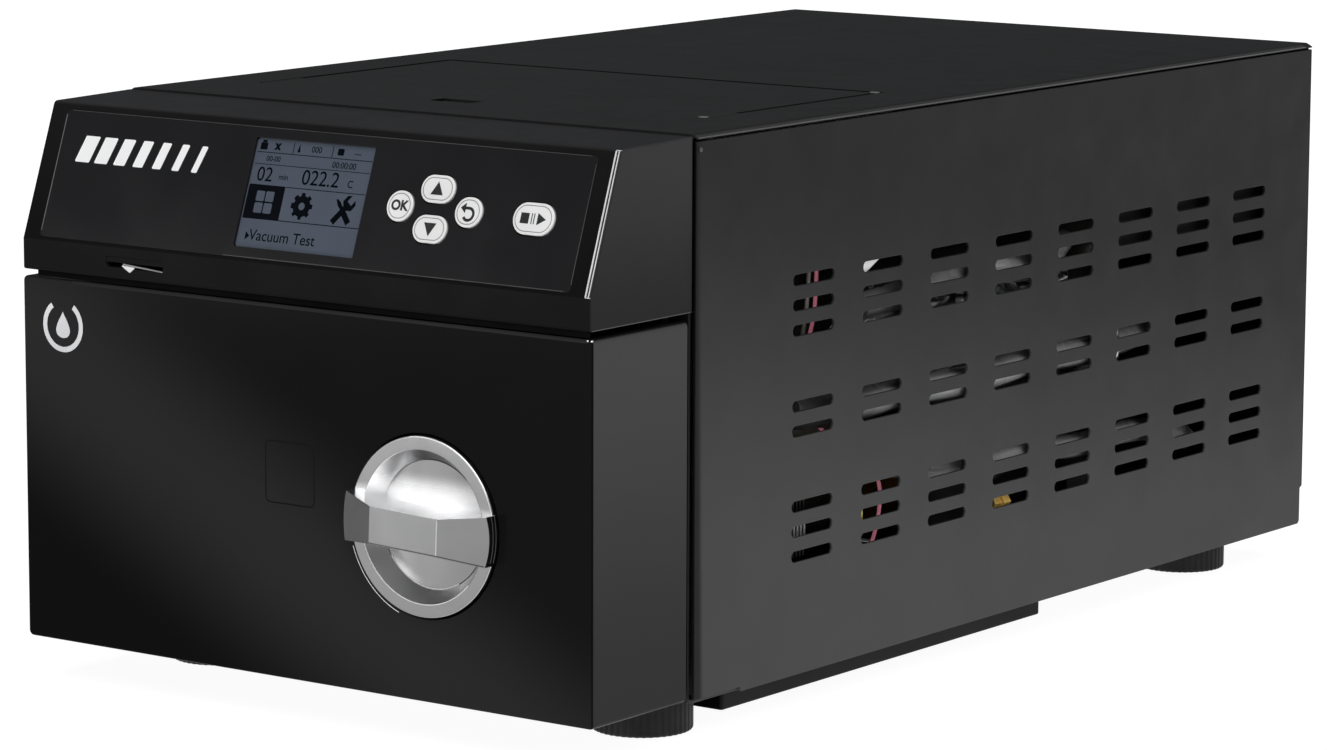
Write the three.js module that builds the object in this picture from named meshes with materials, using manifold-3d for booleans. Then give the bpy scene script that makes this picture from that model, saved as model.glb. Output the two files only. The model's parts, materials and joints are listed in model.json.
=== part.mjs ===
// Benchtop steam autoclave with a side-hinged door, a rotary lock and a top-filled water tank.
// Millimetres, +Z up, +X right, +Y to the back; the feet stand on z = 0.
import * as THREE from 'three';
import { mergeVertices } from 'three/addons/utils/BufferGeometryUtils.js';
import Module from 'manifold-3d';

const wasm = await Module();
wasm.setup();

// ---------------------------------------------------------------- driving dimensions
const WIDTH = 280;
const HALF = WIDTH / 2;
const DEPTH = 462.4;            // main housing, front edge at y = 0
const FOOT_HEIGHT = 15.5;
const TOP = 230.1;              // upper face of the top cover
const SIDE_TOP = 227.4;
const SHEET = 1.2;              // side panel thickness
const GAP = 0.3;                // between neighbours that touch

const DOOR = { front: -62.6, back: -5, bottom: 17.3, top: 161.3, wall: 2.5, corner: 3, bevel: 0.8 };
const FASCIA = { half: 139, front: -63.4, back: -0.5, bottom: 163.9, lip: 176.1,
  crestY: -44.4, crestZ: 228.5, topBack: 229.4, wall: 2.4 };
const OVERLAY = { left: -130.5, right: 129.5, low: 1.5, high: 52.7, sunk: 0.9 };
const SCREEN = { left: -32, right: 26.5, low: 5.7, high: 48.4 };
const BUTTONS = {
  ok: { x: 43.8, s: 27.2, width: 12.8, height: 12.4 },
  up: { x: 59.9, s: 34.9, width: 16.4, height: 11.2 },
  down: { x: 59.9, s: 19.6, width: 16.4, height: 11.2 },
  return: { x: 76.2, s: 27.3, width: 13.1, height: 12.1 },
  start: { x: 106.4, s: 27.2, width: 19.4, height: 12.7 },
};
const PORT = { left: -95.5, right: -66, low: 168.4, high: 172.6 };
const VENTS = { first: 63.4, pitch: 47.5, length: 27.5, height: 4, columns: 8,
  topRow: 166.8, rowPitch: 9.73, rows: [0, 1, 2, 5, 6, 9, 10, 11] };
const FEET = { radius: 19.6, groove: 18.7, ribs: 20, x: 106, front: 13.4, rear: 414 };
const LID = { half: 109.8, front: 45.2, rear: 168.2, gap: 0.6, thick: 2.6 };
const PULL = { left: -14, right: 6, front: 34.6, sunk: 1.2 };
const KNOB = { x: 61.5, z: 84, radius: 34.25, rim: 29.15, floor: 24.5, proud: 2, recess: 7,
  back: -50, tilt: 2.4 };
const KNOB_SIDES = 36;
const GRIP = { crest: 12.9, end: 5.2, crestHalf: 16, endHalf: 34, crestHeight: 14.3,
  endHeight: 19.4 };
const PINION = { module: 1.25, teeth: 16, front: -34, back: -26 };
const HINGE = { x: -131, y: -12, pin: 2.5, half: 5, thick: 6, lug: 5.6,
  levels: { lower: 43, upper: 135 } };
const KEEPER = { left: 112, right: 118, front: -37, low: 86, high: 114 };
const CHAMBER = { z: 89.3, bore: 55, wall: 2.5, flange: 67, front: 0.3, flangeBack: 3.7, back: 272 };
const FAN = { x: 0, z: 150, size: 80, bore: 37, front: 440, back: 460 };
const INLET = { x: 95, z: 48 };
const SWITCH = { x: 95, z: 92 };
const REAR_PANEL = { front: 460.6, back: DEPTH };
const FRAME = { front: 4, back: 6 };
const HANDLE_REACH = DOOR.front - GRIP.crest;
const COUPLING_REACH = 474.5;
const COUPLINGS = [-105, -75];
const COUPLING_Z = 45;
const TRAY_LEVELS = [-22, 6];

// ---------------------------------------------------------------- finishes
const FINISHES = {
  powderCoat: { color: 0x3b3b3d, roughness: 0.55, metalness: 0.1 },
  glossBlack: { color: 0x141416, roughness: 0.12, metalness: 0 },
  mouldedBlack: { color: 0x2b2b2d, roughness: 0.5, metalness: 0 },
  satinSilver: { color: 0xb4b4b2, roughness: 0.35, metalness: 0.9 },
  chrome: { color: 0xe2e4e6, roughness: 0.08, metalness: 1 },
  stainless: { color: 0xbfc0c0, roughness: 0.3, metalness: 1 },
  steel: { color: 0x8f9294, roughness: 0.45, metalness: 0.9 },
  brass: { color: 0xc59a4a, roughness: 0.35, metalness: 1 },
  rubber: { color: 0x161616, roughness: 0.85, metalness: 0 },
  silicone: { color: 0xd8d6cf, roughness: 0.6, metalness: 0 },
  screen: { color: 0x565d68, roughness: 0.2, metalness: 0 },
  whitePlastic: { color: 0xe9e9e7, roughness: 0.35, metalness: 0 },
  board: { color: 0x1f6a43, roughness: 0.5, metalness: 0 },
  fleece: { color: 0xd9d3c2, roughness: 0.95, metalness: 0 },
  pinkWire: { color: 0xd98a9c, roughness: 0.5, metalness: 0 },
};

// ---------------------------------------------------------------- solids and booleans
function solid(geometry) {
  const bare = geometry.clone();
  bare.deleteAttribute('normal');
  bare.deleteAttribute('uv');
  const merged = mergeVertices(bare, 1e-3);
  const points = merged.attributes.position;
  const corners = merged.index.array;
  const triangles = [];
  let volume = 0;
  const [a, b, c] = [new THREE.Vector3(), new THREE.Vector3(), new THREE.Vector3()];
  for (let i = 0; i < corners.length; i += 3) {
    const [p, q, r] = corners.slice(i, i + 3);
    if (p === q || q === r || r === p) continue;
    a.fromBufferAttribute(points, p);
    b.fromBufferAttribute(points, q);
    c.fromBufferAttribute(points, r);
    volume += a.dot(b.cross(c));
    triangles.push([p, q, r]);
  }
  const outward = volume > 0 ? triangles : triangles.map(([p, q, r]) => [p, r, q]);
  return new wasm.Manifold(new wasm.Mesh({
    numProp: 3,
    vertProperties: new Float32Array(points.array),
    triVerts: new Uint32Array(outward.flat()),
  }));
}

function surface(body) {
  const mesh = body.getMesh();
  const geometry = new THREE.BufferGeometry();
  geometry.setAttribute('position', new THREE.BufferAttribute(new Float32Array(mesh.vertProperties), 3));
  geometry.setIndex(new THREE.BufferAttribute(new Uint32Array(mesh.triVerts), 1));
  geometry.computeVertexNormals();
  return geometry;
}

function join(...geometries) {
  return surface(geometries.map(solid).reduce((whole, piece) => whole.add(piece)));
}

function cut(base, ...tools) {
  return surface(tools.map(solid).reduce((whole, tool) => whole.subtract(tool), solid(base)));
}

function common(first, second) {
  return surface(solid(first).intersect(solid(second)));
}

// ---------------------------------------------------------------- shape helpers
function box([x0, x1], [y0, y1], [z0, z1]) {
  const geometry = new THREE.BoxGeometry(x1 - x0, y1 - y0, z1 - z0);
  return geometry.translate((x0 + x1) / 2, (y0 + y1) / 2, (z0 + z1) / 2);
}

const UNIT_X = new THREE.Vector3(1, 0, 0);
const UNIT_Y = new THREE.Vector3(0, 1, 0);
const UNIT_Z = new THREE.Vector3(0, 0, 1);
// Where the two axes of a flat drawing and its thickness point, for each axis of extrusion.
const EXTRUDE_BASIS = {
  x: new THREE.Matrix4().makeBasis(UNIT_Y, UNIT_Z, UNIT_X),
  y: new THREE.Matrix4().makeBasis(UNIT_X, UNIT_Z, UNIT_Y.clone().negate()),
  z: new THREE.Matrix4(),
};

// A flat shape drawn in the plane across an axis (yz, xz or xy), extruded from one level to the other.
function plate(axis, shape, from, to, options = {}) {
  const geometry = new THREE.ExtrudeGeometry(shape, {
    depth: to - from, bevelEnabled: false, curveSegments: 2, steps: 1, ...options,
  });
  geometry.applyMatrix4(EXTRUDE_BASIS[axis]);
  const shift = axis === 'y' ? UNIT_Y.clone().multiplyScalar(to)
    : (axis === 'x' ? UNIT_X : UNIT_Z).clone().multiplyScalar(from);
  return geometry.translate(shift.x, shift.y, shift.z);
}

function stand(geometry, axis, [first, second]) {
  if (axis === 'x') return geometry.rotateZ(-Math.PI / 2).translate(0, first, second);
  if (axis === 'y') return geometry.translate(first, 0, second);
  return geometry.rotateX(Math.PI / 2).translate(first, second, 0);
}

function rod(axis, radius, from, to, centre, segments = 16) {
  const geometry = new THREE.CylinderGeometry(radius, radius, to - from, segments);
  return stand(geometry.translate(0, (from + to) / 2, 0), axis, centre);
}

// A turned shape: profile points are [radius, distance along the axis].
function turned(axis, profile, centre, segments = 24) {
  const points = profile.map(([radius, along]) => new THREE.Vector2(radius, along));
  return stand(new THREE.LatheGeometry(points, segments), axis, centre);
}

function roundRect(x0, x1, y0, y1, radius) {
  const shape = new THREE.Shape();
  shape.moveTo(x0 + radius, y0);
  shape.lineTo(x1 - radius, y0);
  shape.absarc(x1 - radius, y0 + radius, radius, -Math.PI / 2, 0);
  shape.lineTo(x1, y1 - radius);
  shape.absarc(x1 - radius, y1 - radius, radius, 0, Math.PI / 2);
  shape.lineTo(x0 + radius, y1);
  shape.absarc(x0 + radius, y1 - radius, radius, Math.PI / 2, Math.PI);
  shape.lineTo(x0, y0 + radius);
  shape.absarc(x0 + radius, y0 + radius, radius, Math.PI, 1.5 * Math.PI);
  return shape;
}

function polygon(points) {
  return new THREE.Shape(points.map(([x, y]) => new THREE.Vector2(x, y)));
}

// Joins rings of equal length into one closed skin, with a flat fan over each end ring.
function loft(rings) {
  const count = rings[0].length;
  const triangles = [];
  for (let ring = 0; ring + 1 < rings.length; ring += 1) {
    for (let i = 0; i < count; i += 1) {
      const [a, b] = [ring * count + i, ring * count + ((i + 1) % count)];
      triangles.push(a, b, b + count, a, b + count, a + count);
    }
  }
  const last = (rings.length - 1) * count;
  for (let i = 1; i + 1 < count; i += 1) {
    triangles.push(0, i + 1, i, last, last + i, last + i + 1);
  }
  const geometry = new THREE.BufferGeometry();
  geometry.setAttribute('position', new THREE.Float32BufferAttribute(rings.flat(2), 3));
  geometry.setIndex(triangles);
  return geometry;
}

function tube(points, radius, sides, steps) {
  const path = new THREE.CatmullRomCurve3(points.map((point) => new THREE.Vector3(...point)));
  const section = polygon(Array.from({ length: sides }, (_, i) => {
    const angle = (2 * Math.PI * i) / sides;
    return [radius * Math.cos(angle), radius * Math.sin(angle)];
  }));
  return new THREE.ExtrudeGeometry(section, { extrudePath: path, steps, bevelEnabled: false });
}

// ---------------------------------------------------------------- scene graph
const machine = new THREE.Group();
machine.position.y = -(HANDLE_REACH + COUPLING_REACH) / 2;

function place(name, geometry, finish, group = machine) {
  const material = new THREE.MeshStandardMaterial(FINISHES[finish]);
  const mesh = new THREE.Mesh(surface(solid(geometry)), material);
  mesh.name = name;
  group.add(mesh);
}

// The sloped control face has its own frame: X across, Y up the slope, Z out of it.
const slope = new THREE.Group();
const slopeAngle = Math.atan2(FASCIA.crestZ - FASCIA.lip, FASCIA.crestY - FASCIA.front);
slope.position.set(0, FASCIA.front, FASCIA.lip);
slope.rotation.x = slopeAngle;
slope.updateMatrix();
machine.add(slope);
const onSlope = (geometry) => geometry.applyMatrix4(slope.matrix);
const slopeLength = Math.hypot(FASCIA.crestZ - FASCIA.lip, FASCIA.crestY - FASCIA.front);

// ---------------------------------------------------------------- casing
function sidePanel(side) {
  const step = 30;
  const corner = 2.5;
  const outline = new THREE.Shape();
  outline.moveTo(0, DOOR.bottom);
  outline.lineTo(step, DOOR.bottom);
  outline.lineTo(step, FOOT_HEIGHT);
  outline.lineTo(DEPTH - corner, FOOT_HEIGHT);
  outline.absarc(DEPTH - corner, FOOT_HEIGHT + corner, corner, -Math.PI / 2, 0);
  outline.lineTo(DEPTH, SIDE_TOP);
  outline.lineTo(0, SIDE_TOP);
  const inner = side < 0 ? -HALF : HALF - SHEET;
  const vents = [];
  for (let column = 0; column < VENTS.columns; column += 1) {
    const y = VENTS.first + column * VENTS.pitch;
    for (const row of VENTS.rows) {
      const z = VENTS.topRow - row * VENTS.rowPitch;
      vents.push(box([inner - 1, inner + SHEET + 1], [y, y + VENTS.length], [z, z + VENTS.height]));
    }
  }
  return cut(plate('x', outline, inner, inner + SHEET), ...vents);
}

function topCover() {
  const skin = plate('z', roundRect(-HALF, HALF, GAP, DEPTH, 4), TOP - 1.5, TOP);
  const rims = [-1, 1].map((side) => box([side * HALF, side * (HALF - 1.8)].sort((a, b) => a - b),
    [GAP + 4, DEPTH - 4], [SIDE_TOP + GAP, TOP - 1]));
  const mouth = LID.half + LID.gap;
  const opening = box([-mouth, mouth], [LID.front - LID.gap, LID.rear + LID.gap], [TOP - 5, TOP + 5]);
  const pull = box([PULL.left, PULL.right], [PULL.front, LID.front], [TOP - 5, TOP + 5]);
  return cut(join(skin, ...rims), opening, pull);
}

function reservoirLid() {
  const outline = roundRect(-LID.half, LID.half, LID.front, LID.rear, 1.5);
  const leaf = plate('z', outline, TOP - LID.thick, TOP);
  const tongue = box([PULL.left + 0.5, PULL.right - 0.5], [PULL.front + 0.5, LID.front + 2],
    [TOP - LID.thick, TOP - PULL.sunk]);
  return join(leaf, tongue);
}

function rearPanel() {
  const sheet = box([-HALF + SHEET + GAP, HALF - SHEET - GAP], [REAR_PANEL.front, REAR_PANEL.back],
    [FOOT_HEIGHT + 2.1, SIDE_TOP - GAP]);
  const cuts = [];
  for (let row = -4; row <= 4; row += 1) {
    const reach = Math.sqrt((FAN.bore - 1) ** 2 - (8 * row) ** 2);
    const level = FAN.z + 8 * row;
    cuts.push(box([FAN.x - reach, FAN.x + reach], [450, 470], [level - 2, level + 2]));
  }
  cuts.push(box([INLET.x - 14.5, INLET.x + 14.5], [450, 470], [INLET.z - 10.5, INLET.z + 10.5]));
  cuts.push(box([SWITCH.x - 11.5, SWITCH.x + 11.5], [450, 470], [SWITCH.z - 14.5, SWITCH.z + 14.5]));
  for (const x of COUPLINGS) cuts.push(rod('y', 6.5, 450, 470, [x, COUPLING_Z]));
  return cut(sheet, ...cuts);
}

function frontFrame() {
  const sheet = box([-HALF + SHEET + GAP, HALF - SHEET - GAP], [FRAME.front, FRAME.back],
    [FOOT_HEIGHT + 2.1, SIDE_TOP - GAP]);
  const bore = rod('y', CHAMBER.bore + CHAMBER.wall + 0.8, 0, 10, [0, CHAMBER.z], 32);
  const wiring = box([-60, 60], [0, 10], [190, 210]);
  return cut(sheet, bore, wiring);
}

function basePlate() {
  const sheet = box([-HALF + SHEET + GAP, HALF - SHEET - GAP], [1, REAR_PANEL.front - GAP],
    [FOOT_HEIGHT + GAP, FOOT_HEIGHT + 1.8]);
  const vents = [-60, 0, 60].map((x) => box([x - 20, x + 20], [300, 306], [10, 20]));
  return cut(sheet, ...vents);
}

function bottomPan() {
  const [half, front, rear, low, wall] = [129, 33.4, 261, 5.9, 1.5];
  const outer = plate('z', roundRect(-half, half, front, rear, 8), low, FOOT_HEIGHT);
  const inner = plate('z', roundRect(-half + wall, half - wall, front + wall, rear - wall, 6.5),
    low + wall, FOOT_HEIGHT + 5);
  return cut(outer, inner);
}

function foot(x, y) {
  const section = Array.from({ length: 2 * FEET.ribs }, (_, i) => {
    const radius = i % 2 ? FEET.groove : FEET.radius;
    const angle = (Math.PI * i) / FEET.ribs;
    return [x + radius * Math.cos(angle), y + radius * Math.sin(angle)];
  });
  return plate('z', polygon(section), 0, FOOT_HEIGHT);
}

place('left_side_panel', sidePanel(-1), 'powderCoat');
place('right_side_panel', sidePanel(1), 'powderCoat');
place('top_cover', topCover(), 'powderCoat');
place('reservoir_lid', reservoirLid(), 'powderCoat');
place('rear_panel', rearPanel(), 'powderCoat');
place('front_frame', frontFrame(), 'steel');
place('base_plate', basePlate(), 'powderCoat');
place('bottom_pan', bottomPan(), 'mouldedBlack');
for (const [end, y] of [['front', FEET.front], ['rear', FEET.rear]]) {
  place(`foot_${end}_left`, foot(-FEET.x, y), 'rubber');
  place(`foot_${end}_right`, foot(FEET.x, y), 'rubber');
}

// ---------------------------------------------------------------- control fascia
function stadium({ x, s, width, height }, grow) {
  const [w, h] = [width / 2 + grow, height / 2 + grow];
  return roundRect(x - w, x + w, s - h, s + h, Math.min(w, h) - 0.05);
}

function fasciaShell() {
  const { half, front, back, bottom, lip, crestY, crestZ, topBack, wall } = FASCIA;
  const outer = plate('x', polygon([[front, bottom], [back, bottom], [back, topBack], [crestY, crestZ],
    [front, lip]]), -half, half);
  const hollow = plate('x', polygon([[front + wall, bottom + wall], [back + 5, bottom + wall],
    [back + 5, topBack - wall], [crestY + 0.7 * wall, crestZ - wall], [front + wall, lip - 0.3 * wall]]),
    -half + wall, half - wall);
  const opening = ({ left, right, low, high }, grow, depth) => onSlope(box(
    [left - grow, right + grow], [low - grow, high + grow], [-depth, 5]));
  const sink = opening(OVERLAY, GAP, OVERLAY.sunk);
  const window = opening(SCREEN, 0.4, 6);
  const holes = Object.values(BUTTONS).map((button) => onSlope(plate('z', stadium(button, 0.5), -5, 5)));
  const port = box([PORT.left, PORT.right], [front - 5, front + 6], [PORT.low, PORT.high]);
  return cut(outer, hollow, sink, window, port, ...holes);
}

function controlOverlay() {
  const sheet = roundRect(OVERLAY.left, OVERLAY.right, OVERLAY.low, OVERLAY.high, 1.5);
  sheet.holes.push(roundRect(SCREEN.left, SCREEN.right, SCREEN.low, SCREEN.high, 0.5));
  for (const button of Object.values(BUTTONS)) sheet.holes.push(stadium(button, 0.5));
  return plate('z', sheet, GAP - OVERLAY.sunk, 0.1);
}

function lcdModule() {
  const glass = box([SCREEN.left, SCREEN.right], [SCREEN.low, SCREEN.high], [-8, -OVERLAY.sunk]);
  const tray = box([SCREEN.left - 4, SCREEN.right + 4], [SCREEN.low - 3, SCREEN.high + 3], [-8, -3.6]);
  return join(glass, tray);
}

function controlBoard() {
  const board = box([-122, 122], [4, 50], [-12, -10.4]);
  const switches = Object.values(BUTTONS).map(({ x, s }) => rod('z', 3, -11, -6.6, [x, s], 10));
  const connector = box([-110, -80], [18, 30], [-11, -5]);
  return join(board, connector, ...switches);
}

function button(shape) {
  const cap = plate('z', stadium(shape, 0), -5, 1.3, { curveSegments: 4 });
  const [w, h] = [shape.width / 2 - 2, shape.height / 2 + 1];
  const flange = box([shape.x - w, shape.x + w], [shape.s - h, shape.s + h], [-5, -3.2]);
  return join(cap, flange);
}

function lipPort() {
  const body = box([PORT.left - 1, PORT.right + 2], [FASCIA.front + 2.8, FASCIA.front + 18],
    [PORT.low - 1.2, PORT.high + 1.2]);
  const mouth = box([PORT.left + 1, PORT.right - 1], [FASCIA.front, FASCIA.front + 14],
    [PORT.low + 0.3, PORT.high - 0.3]);
  const tongue = box([-84, -72], [FASCIA.front + 4, FASCIA.front + 15], [170, 171]);
  return join(cut(body, mouth), tongue);
}

function trimStrip() {
  return box([136.4, 138.8], [0.5, slopeLength - 0.5], [GAP, 0.9]);
}

place('fascia_shell', fasciaShell(), 'mouldedBlack');
place('lip_port', lipPort(), 'stainless');
place('control_overlay', controlOverlay(), 'glossBlack', slope);
place('lcd_module', lcdModule(), 'screen', slope);
place('control_board', controlBoard(), 'board', slope);
place('trim_strip', trimStrip(), 'chrome', slope);
for (const [name, shape] of Object.entries(BUTTONS)) {
  place(`button_${name}`, button(shape), 'whitePlastic', slope);
}

// ---------------------------------------------------------------- door
function doorShell() {
  const { front, back, bottom, top, wall, corner, bevel } = DOOR;
  const outline = roundRect(-HALF + bevel, HALF - bevel, bottom + bevel, top - bevel, corner - bevel);
  const block = plate('y', outline, front + bevel, back + 10,
    { bevelEnabled: true, bevelThickness: bevel, bevelSize: bevel, bevelSegments: 2 });
  const behind = box([-HALF - 5, HALF + 5], [back, back + 30], [0, 200]);
  const hollow = box([-HALF + wall, HALF - wall], [front + wall, back + 5], [bottom + wall, top - wall]);
  const dish = rod('y', KNOB.radius + 0.5, front - 5, front + 10, [KNOB.x, KNOB.z], KNOB_SIDES);
  const notches = Object.values(HINGE.levels)
    .map((z) => box([-HALF - 5, -HALF + 5], [-21, 0], [z - 3.6, z + 3.6]));
  return cut(block, behind, hollow, dish, ...notches);
}

function hingeLugs(z) {
  const { x, y, half, lug, thick } = HINGE;
  const inner = thick / 2 + 0.4;
  const lugBox = (low) => box([x - half, x + half], [y - half, DOOR.back - 1], [low, low + lug]);
  return [lugBox(z + inner), lugBox(z - inner - lug)];
}

function doorBackPlate() {
  const clear = DOOR.wall + GAP;
  const sheet = box([-HALF + clear, HALF - clear], [DOOR.back - 2, DOOR.back],
    [DOOR.bottom + clear, DOOR.top - clear]);
  const levels = Object.values(HINGE.levels);
  const plateAndLugs = join(sheet, ...levels.flatMap(hingeLugs));
  const hole = rod('y', CHAMBER.flange - 1.2, -10, 0, [0, CHAMBER.z], 32);
  const keeper = box([KEEPER.left - 2, KEEPER.right + 4], [-10, 0],
    [KEEPER.low - 2, KEEPER.high + 2]);
  const notches = levels.map((z) => box([-HALF, HINGE.x + HINGE.half + 1.5], [-8, 0],
    [z - 3.4, z + 3.4]));
  const bores = levels.map((z) => rod('z', HINGE.pin + GAP, z - 15, z + 15, [HINGE.x, HINGE.y], 16));
  return cut(plateAndLugs, hole, keeper, ...notches, ...bores);
}

function carrierPlate() {
  const clear = DOOR.wall + GAP;
  const sheet = box([-HALF + clear + 18, HALF - clear], [-21.5, -19.5],
    [DOOR.bottom + clear, DOOR.top - clear]);
  const keeper = box([KEEPER.left - 2, KEEPER.right + 4], [-30, 0],
    [KEEPER.low - 2, KEEPER.high + 2]);
  return cut(sheet, keeper, rod('y', 4.3, -30, 0, [KNOB.x, KNOB.z], 16));
}

function pressurePlate() {
  const [front, back, radius] = [-18, -2.5, CHAMBER.flange - 2];
  const disc = turned('y', [[0, front], [radius, front], [radius, back], [0, back]], [0, CHAMBER.z]);
  const groove = turned('y', [[56, back - 4], [63.2, back - 4], [63.2, 5], [56, 5], [56, back - 4]],
    [0, CHAMBER.z]);
  return cut(disc, groove);
}

function doorGasket() {
  const [inner, outer, seat, lip] = [56.4, 62.8, -6.2, -0.3];
  return turned('y', [[inner, seat], [outer, seat], [outer, -2], [61, lip], [58.2, lip], [inner, -2],
    [inner, seat]], [0, CHAMBER.z]);
}

function hingePin() {
  const [low, high] = [HINGE.levels.lower - 9, HINGE.levels.upper + 9.4];
  return turned('z', [[0, low], [HINGE.pin, low], [HINGE.pin, high], [4.2, high], [4.2, high + 1.8],
    [0, high + 1.8]], [HINGE.x, HINGE.y], 16);
}

function hingeBracket(z) {
  const { x, y, half, thick } = HINGE;
  const arm = box([x - half, x + half], [y, CHAMBER.flangeBack], [z - thick / 2, z + thick / 2]);
  const eye = rod('z', half, z - thick / 2, z + thick / 2, [x, y], 16);
  const pad = box([x - half, x + 24], [CHAMBER.front, CHAMBER.flangeBack], [z - 10, z + 10]);
  return cut(join(arm, eye, pad), rod('z', HINGE.pin + GAP, z - 15, z + 15, [x, y], 16));
}

function handleKnob() {
  const rimFront = DOOR.front - KNOB.proud;
  const dish = turned('y', [[0, rimFront + KNOB.recess], [KNOB.floor, rimFront + KNOB.recess],
    [KNOB.rim, rimFront], [KNOB.radius - 0.8, rimFront], [KNOB.radius, rimFront + 0.8],
    [KNOB.radius, KNOB.back], [0, KNOB.back]], [0, 0], KNOB_SIDES);
  const { end, endHalf, endHeight, crest: peak, crestHalf, crestHeight } = GRIP;
  const stations = [[-endHalf, end, endHeight], [-crestHalf, peak, crestHeight],
    [crestHalf, peak, crestHeight], [endHalf, end, endHeight]];
  const ring = ([x, reach, height]) => {
    const [crest, root, half] = [DOOR.front - reach, KNOB.back - 5, height / 2];
    return [[x, root, -half], [x, crest + 1.2, -half], [x, crest, -half + 1.2], [x, crest, half - 1.2],
      [x, crest + 1.2, half], [x, root, half]];
  };
  const envelope = rod('y', KNOB.radius, -90, KNOB.back, [0, 0], KNOB_SIDES);
  const grip = common(loft(stations.map(ring)), envelope);
  const knob = join(dish, grip).rotateY(THREE.MathUtils.degToRad(KNOB.tilt));
  return knob.translate(KNOB.x, 0, KNOB.z);
}

function toothProfile(pitch) {
  const { module } = PINION;
  return { root: 1.25 * module, tip: module, halfRoot: 0.3 * pitch, halfTip: 0.1 * pitch };
}

function handleSpindle() {
  const { module, teeth, front, back } = PINION;
  const pitchRadius = (module * teeth) / 2;
  const tooth = toothProfile(Math.PI * module);
  const outline = [];
  for (let i = 0; i < teeth; i += 1) {
    const centre = Math.PI / 2 + ((i + 0.5) * 2 * Math.PI) / teeth;
    const [rootTurn, tipTurn] = [tooth.halfRoot / pitchRadius, tooth.halfTip / pitchRadius];
    const [rootRadius, tipRadius] = [pitchRadius - tooth.root, pitchRadius + tooth.tip];
    outline.push([rootRadius, centre - rootTurn], [tipRadius, centre - tipTurn],
      [tipRadius, centre + tipTurn], [rootRadius, centre + rootTurn]);
  }
  const gear = plate('y', polygon(outline.map(([radius, angle]) => [KNOB.x + radius * Math.cos(angle),
    KNOB.z + radius * Math.sin(angle)])), front, back);
  const shaft = turned('y', [[0, KNOB.back + GAP], [6, KNOB.back + GAP], [6, -22], [4, -22], [4, -19],
    [0, -19]], [KNOB.x, KNOB.z], 16);
  return join(gear, shaft);
}

function lockBolt() {
  const { module, teeth, front, back } = PINION;
  const pitch = Math.PI * module;
  const tooth = toothProfile(pitch);
  const pitchLine = KNOB.z + (module * teeth) / 2;
  const [left, right, root, top] = [10, KEEPER.left - 1, pitchLine + tooth.root, KNOB.z + 22];
  const outline = [[left, top], [left, root]];
  for (let i = -6; i <= 2; i += 1) {
    const x = KNOB.x + i * pitch;
    outline.push([x - tooth.halfRoot, root], [x - tooth.halfTip, pitchLine - tooth.tip],
      [x + tooth.halfTip, pitchLine - tooth.tip], [x + tooth.halfRoot, root]);
  }
  outline.push([right - 3, root], [right, root + 3], [right, top - 3], [right - 3, top]);
  return plate('y', polygon(outline.reverse()), front, back);
}

function boltGuide() {
  const [low, high] = [KNOB.z + 8.2, KNOB.z + 26];
  const saddles = [[27, 35], [92, 106]].map((x) => box(x, [-38, -21.8], [low - 3, high]));
  const strap = box([30, 95], [PINION.back + 0.4, -21.8], [KNOB.z + 13, high]);
  const channel = box([0, 120], [PINION.front - 0.4, PINION.back + 0.4], [low, KNOB.z + 22.4]);
  return cut(join(...saddles, strap), channel);
}

function lockKeeper() {
  const { left, right, front, low, high } = KEEPER;
  const tongue = box([left, right], [front, CHAMBER.flangeBack], [low, high]);
  const pad = box([left - 7, right + 7], [CHAMBER.front, CHAMBER.flangeBack], [low - 6, high + 6]);
  const window = box([left - 5, right + 5], [PINION.front - 1.5, PINION.back + 1.5],
    [low + 5.5, high - 5.5]);
  return cut(join(tongue, pad), window);
}

place('door_shell', doorShell(), 'glossBlack');
place('door_back_plate', doorBackPlate(), 'stainless');
place('mechanism_carrier', carrierPlate(), 'steel');
place('pressure_plate', pressurePlate(), 'stainless');
place('door_gasket', doorGasket(), 'silicone');
for (const [level, z] of Object.entries(HINGE.levels)) {
  place(`hinge_bracket_${level}`, hingeBracket(z), 'steel');
}
place('hinge_pin', hingePin(), 'stainless');
place('handle_knob', handleKnob(), 'satinSilver');
place('handle_spindle', handleSpindle(), 'steel');
place('lock_bolt', lockBolt(), 'steel');
place('bolt_guide', boltGuide(), 'steel');
place('lock_keeper', lockKeeper(), 'steel');

// ---------------------------------------------------------------- chamber and trays
function vessel() {
  const { bore, wall, flange, front, flangeBack, back, z } = CHAMBER;
  const outer = bore + wall;
  return turned('y', [[0, back], [outer - 8, back], [outer, back - 8], [outer, flangeBack],
    [flange, flangeBack], [flange, front], [bore, front], [bore, back - wall - 6],
    [bore - 8, back - wall], [0, back - wall]], [0, z]);
}

function sleeve(inner, outer, front, back) {
  return turned('y', [[inner, front], [outer, front], [outer, back], [inner, back], [inner, front]],
    [0, CHAMBER.z]);
}

function trayRack() {
  const [half, wall, front, back, rise] = [44, 1.2, 16, 258, 31];
  const z = CHAMBER.z;
  const walls = [-1, 1].map((side) => box([side * half, side * (half - wall)].sort((a, b) => a - b),
    [front, back], [z - rise, z + rise]));
  const bars = [front, back - 8].flatMap((y) => [-rise, rise - wall].map((level) => box([-half, half],
    [y, y + 8], [z + level, z + level + wall])));
  const runners = TRAY_LEVELS.flatMap((level) => [-1, 1].map((side) => box(
    [side * half, side * (half - 5)].sort((a, b) => a - b), [front, back],
    [z + level - wall, z + level])));
  return join(...walls, ...bars, ...runners);
}

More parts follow.
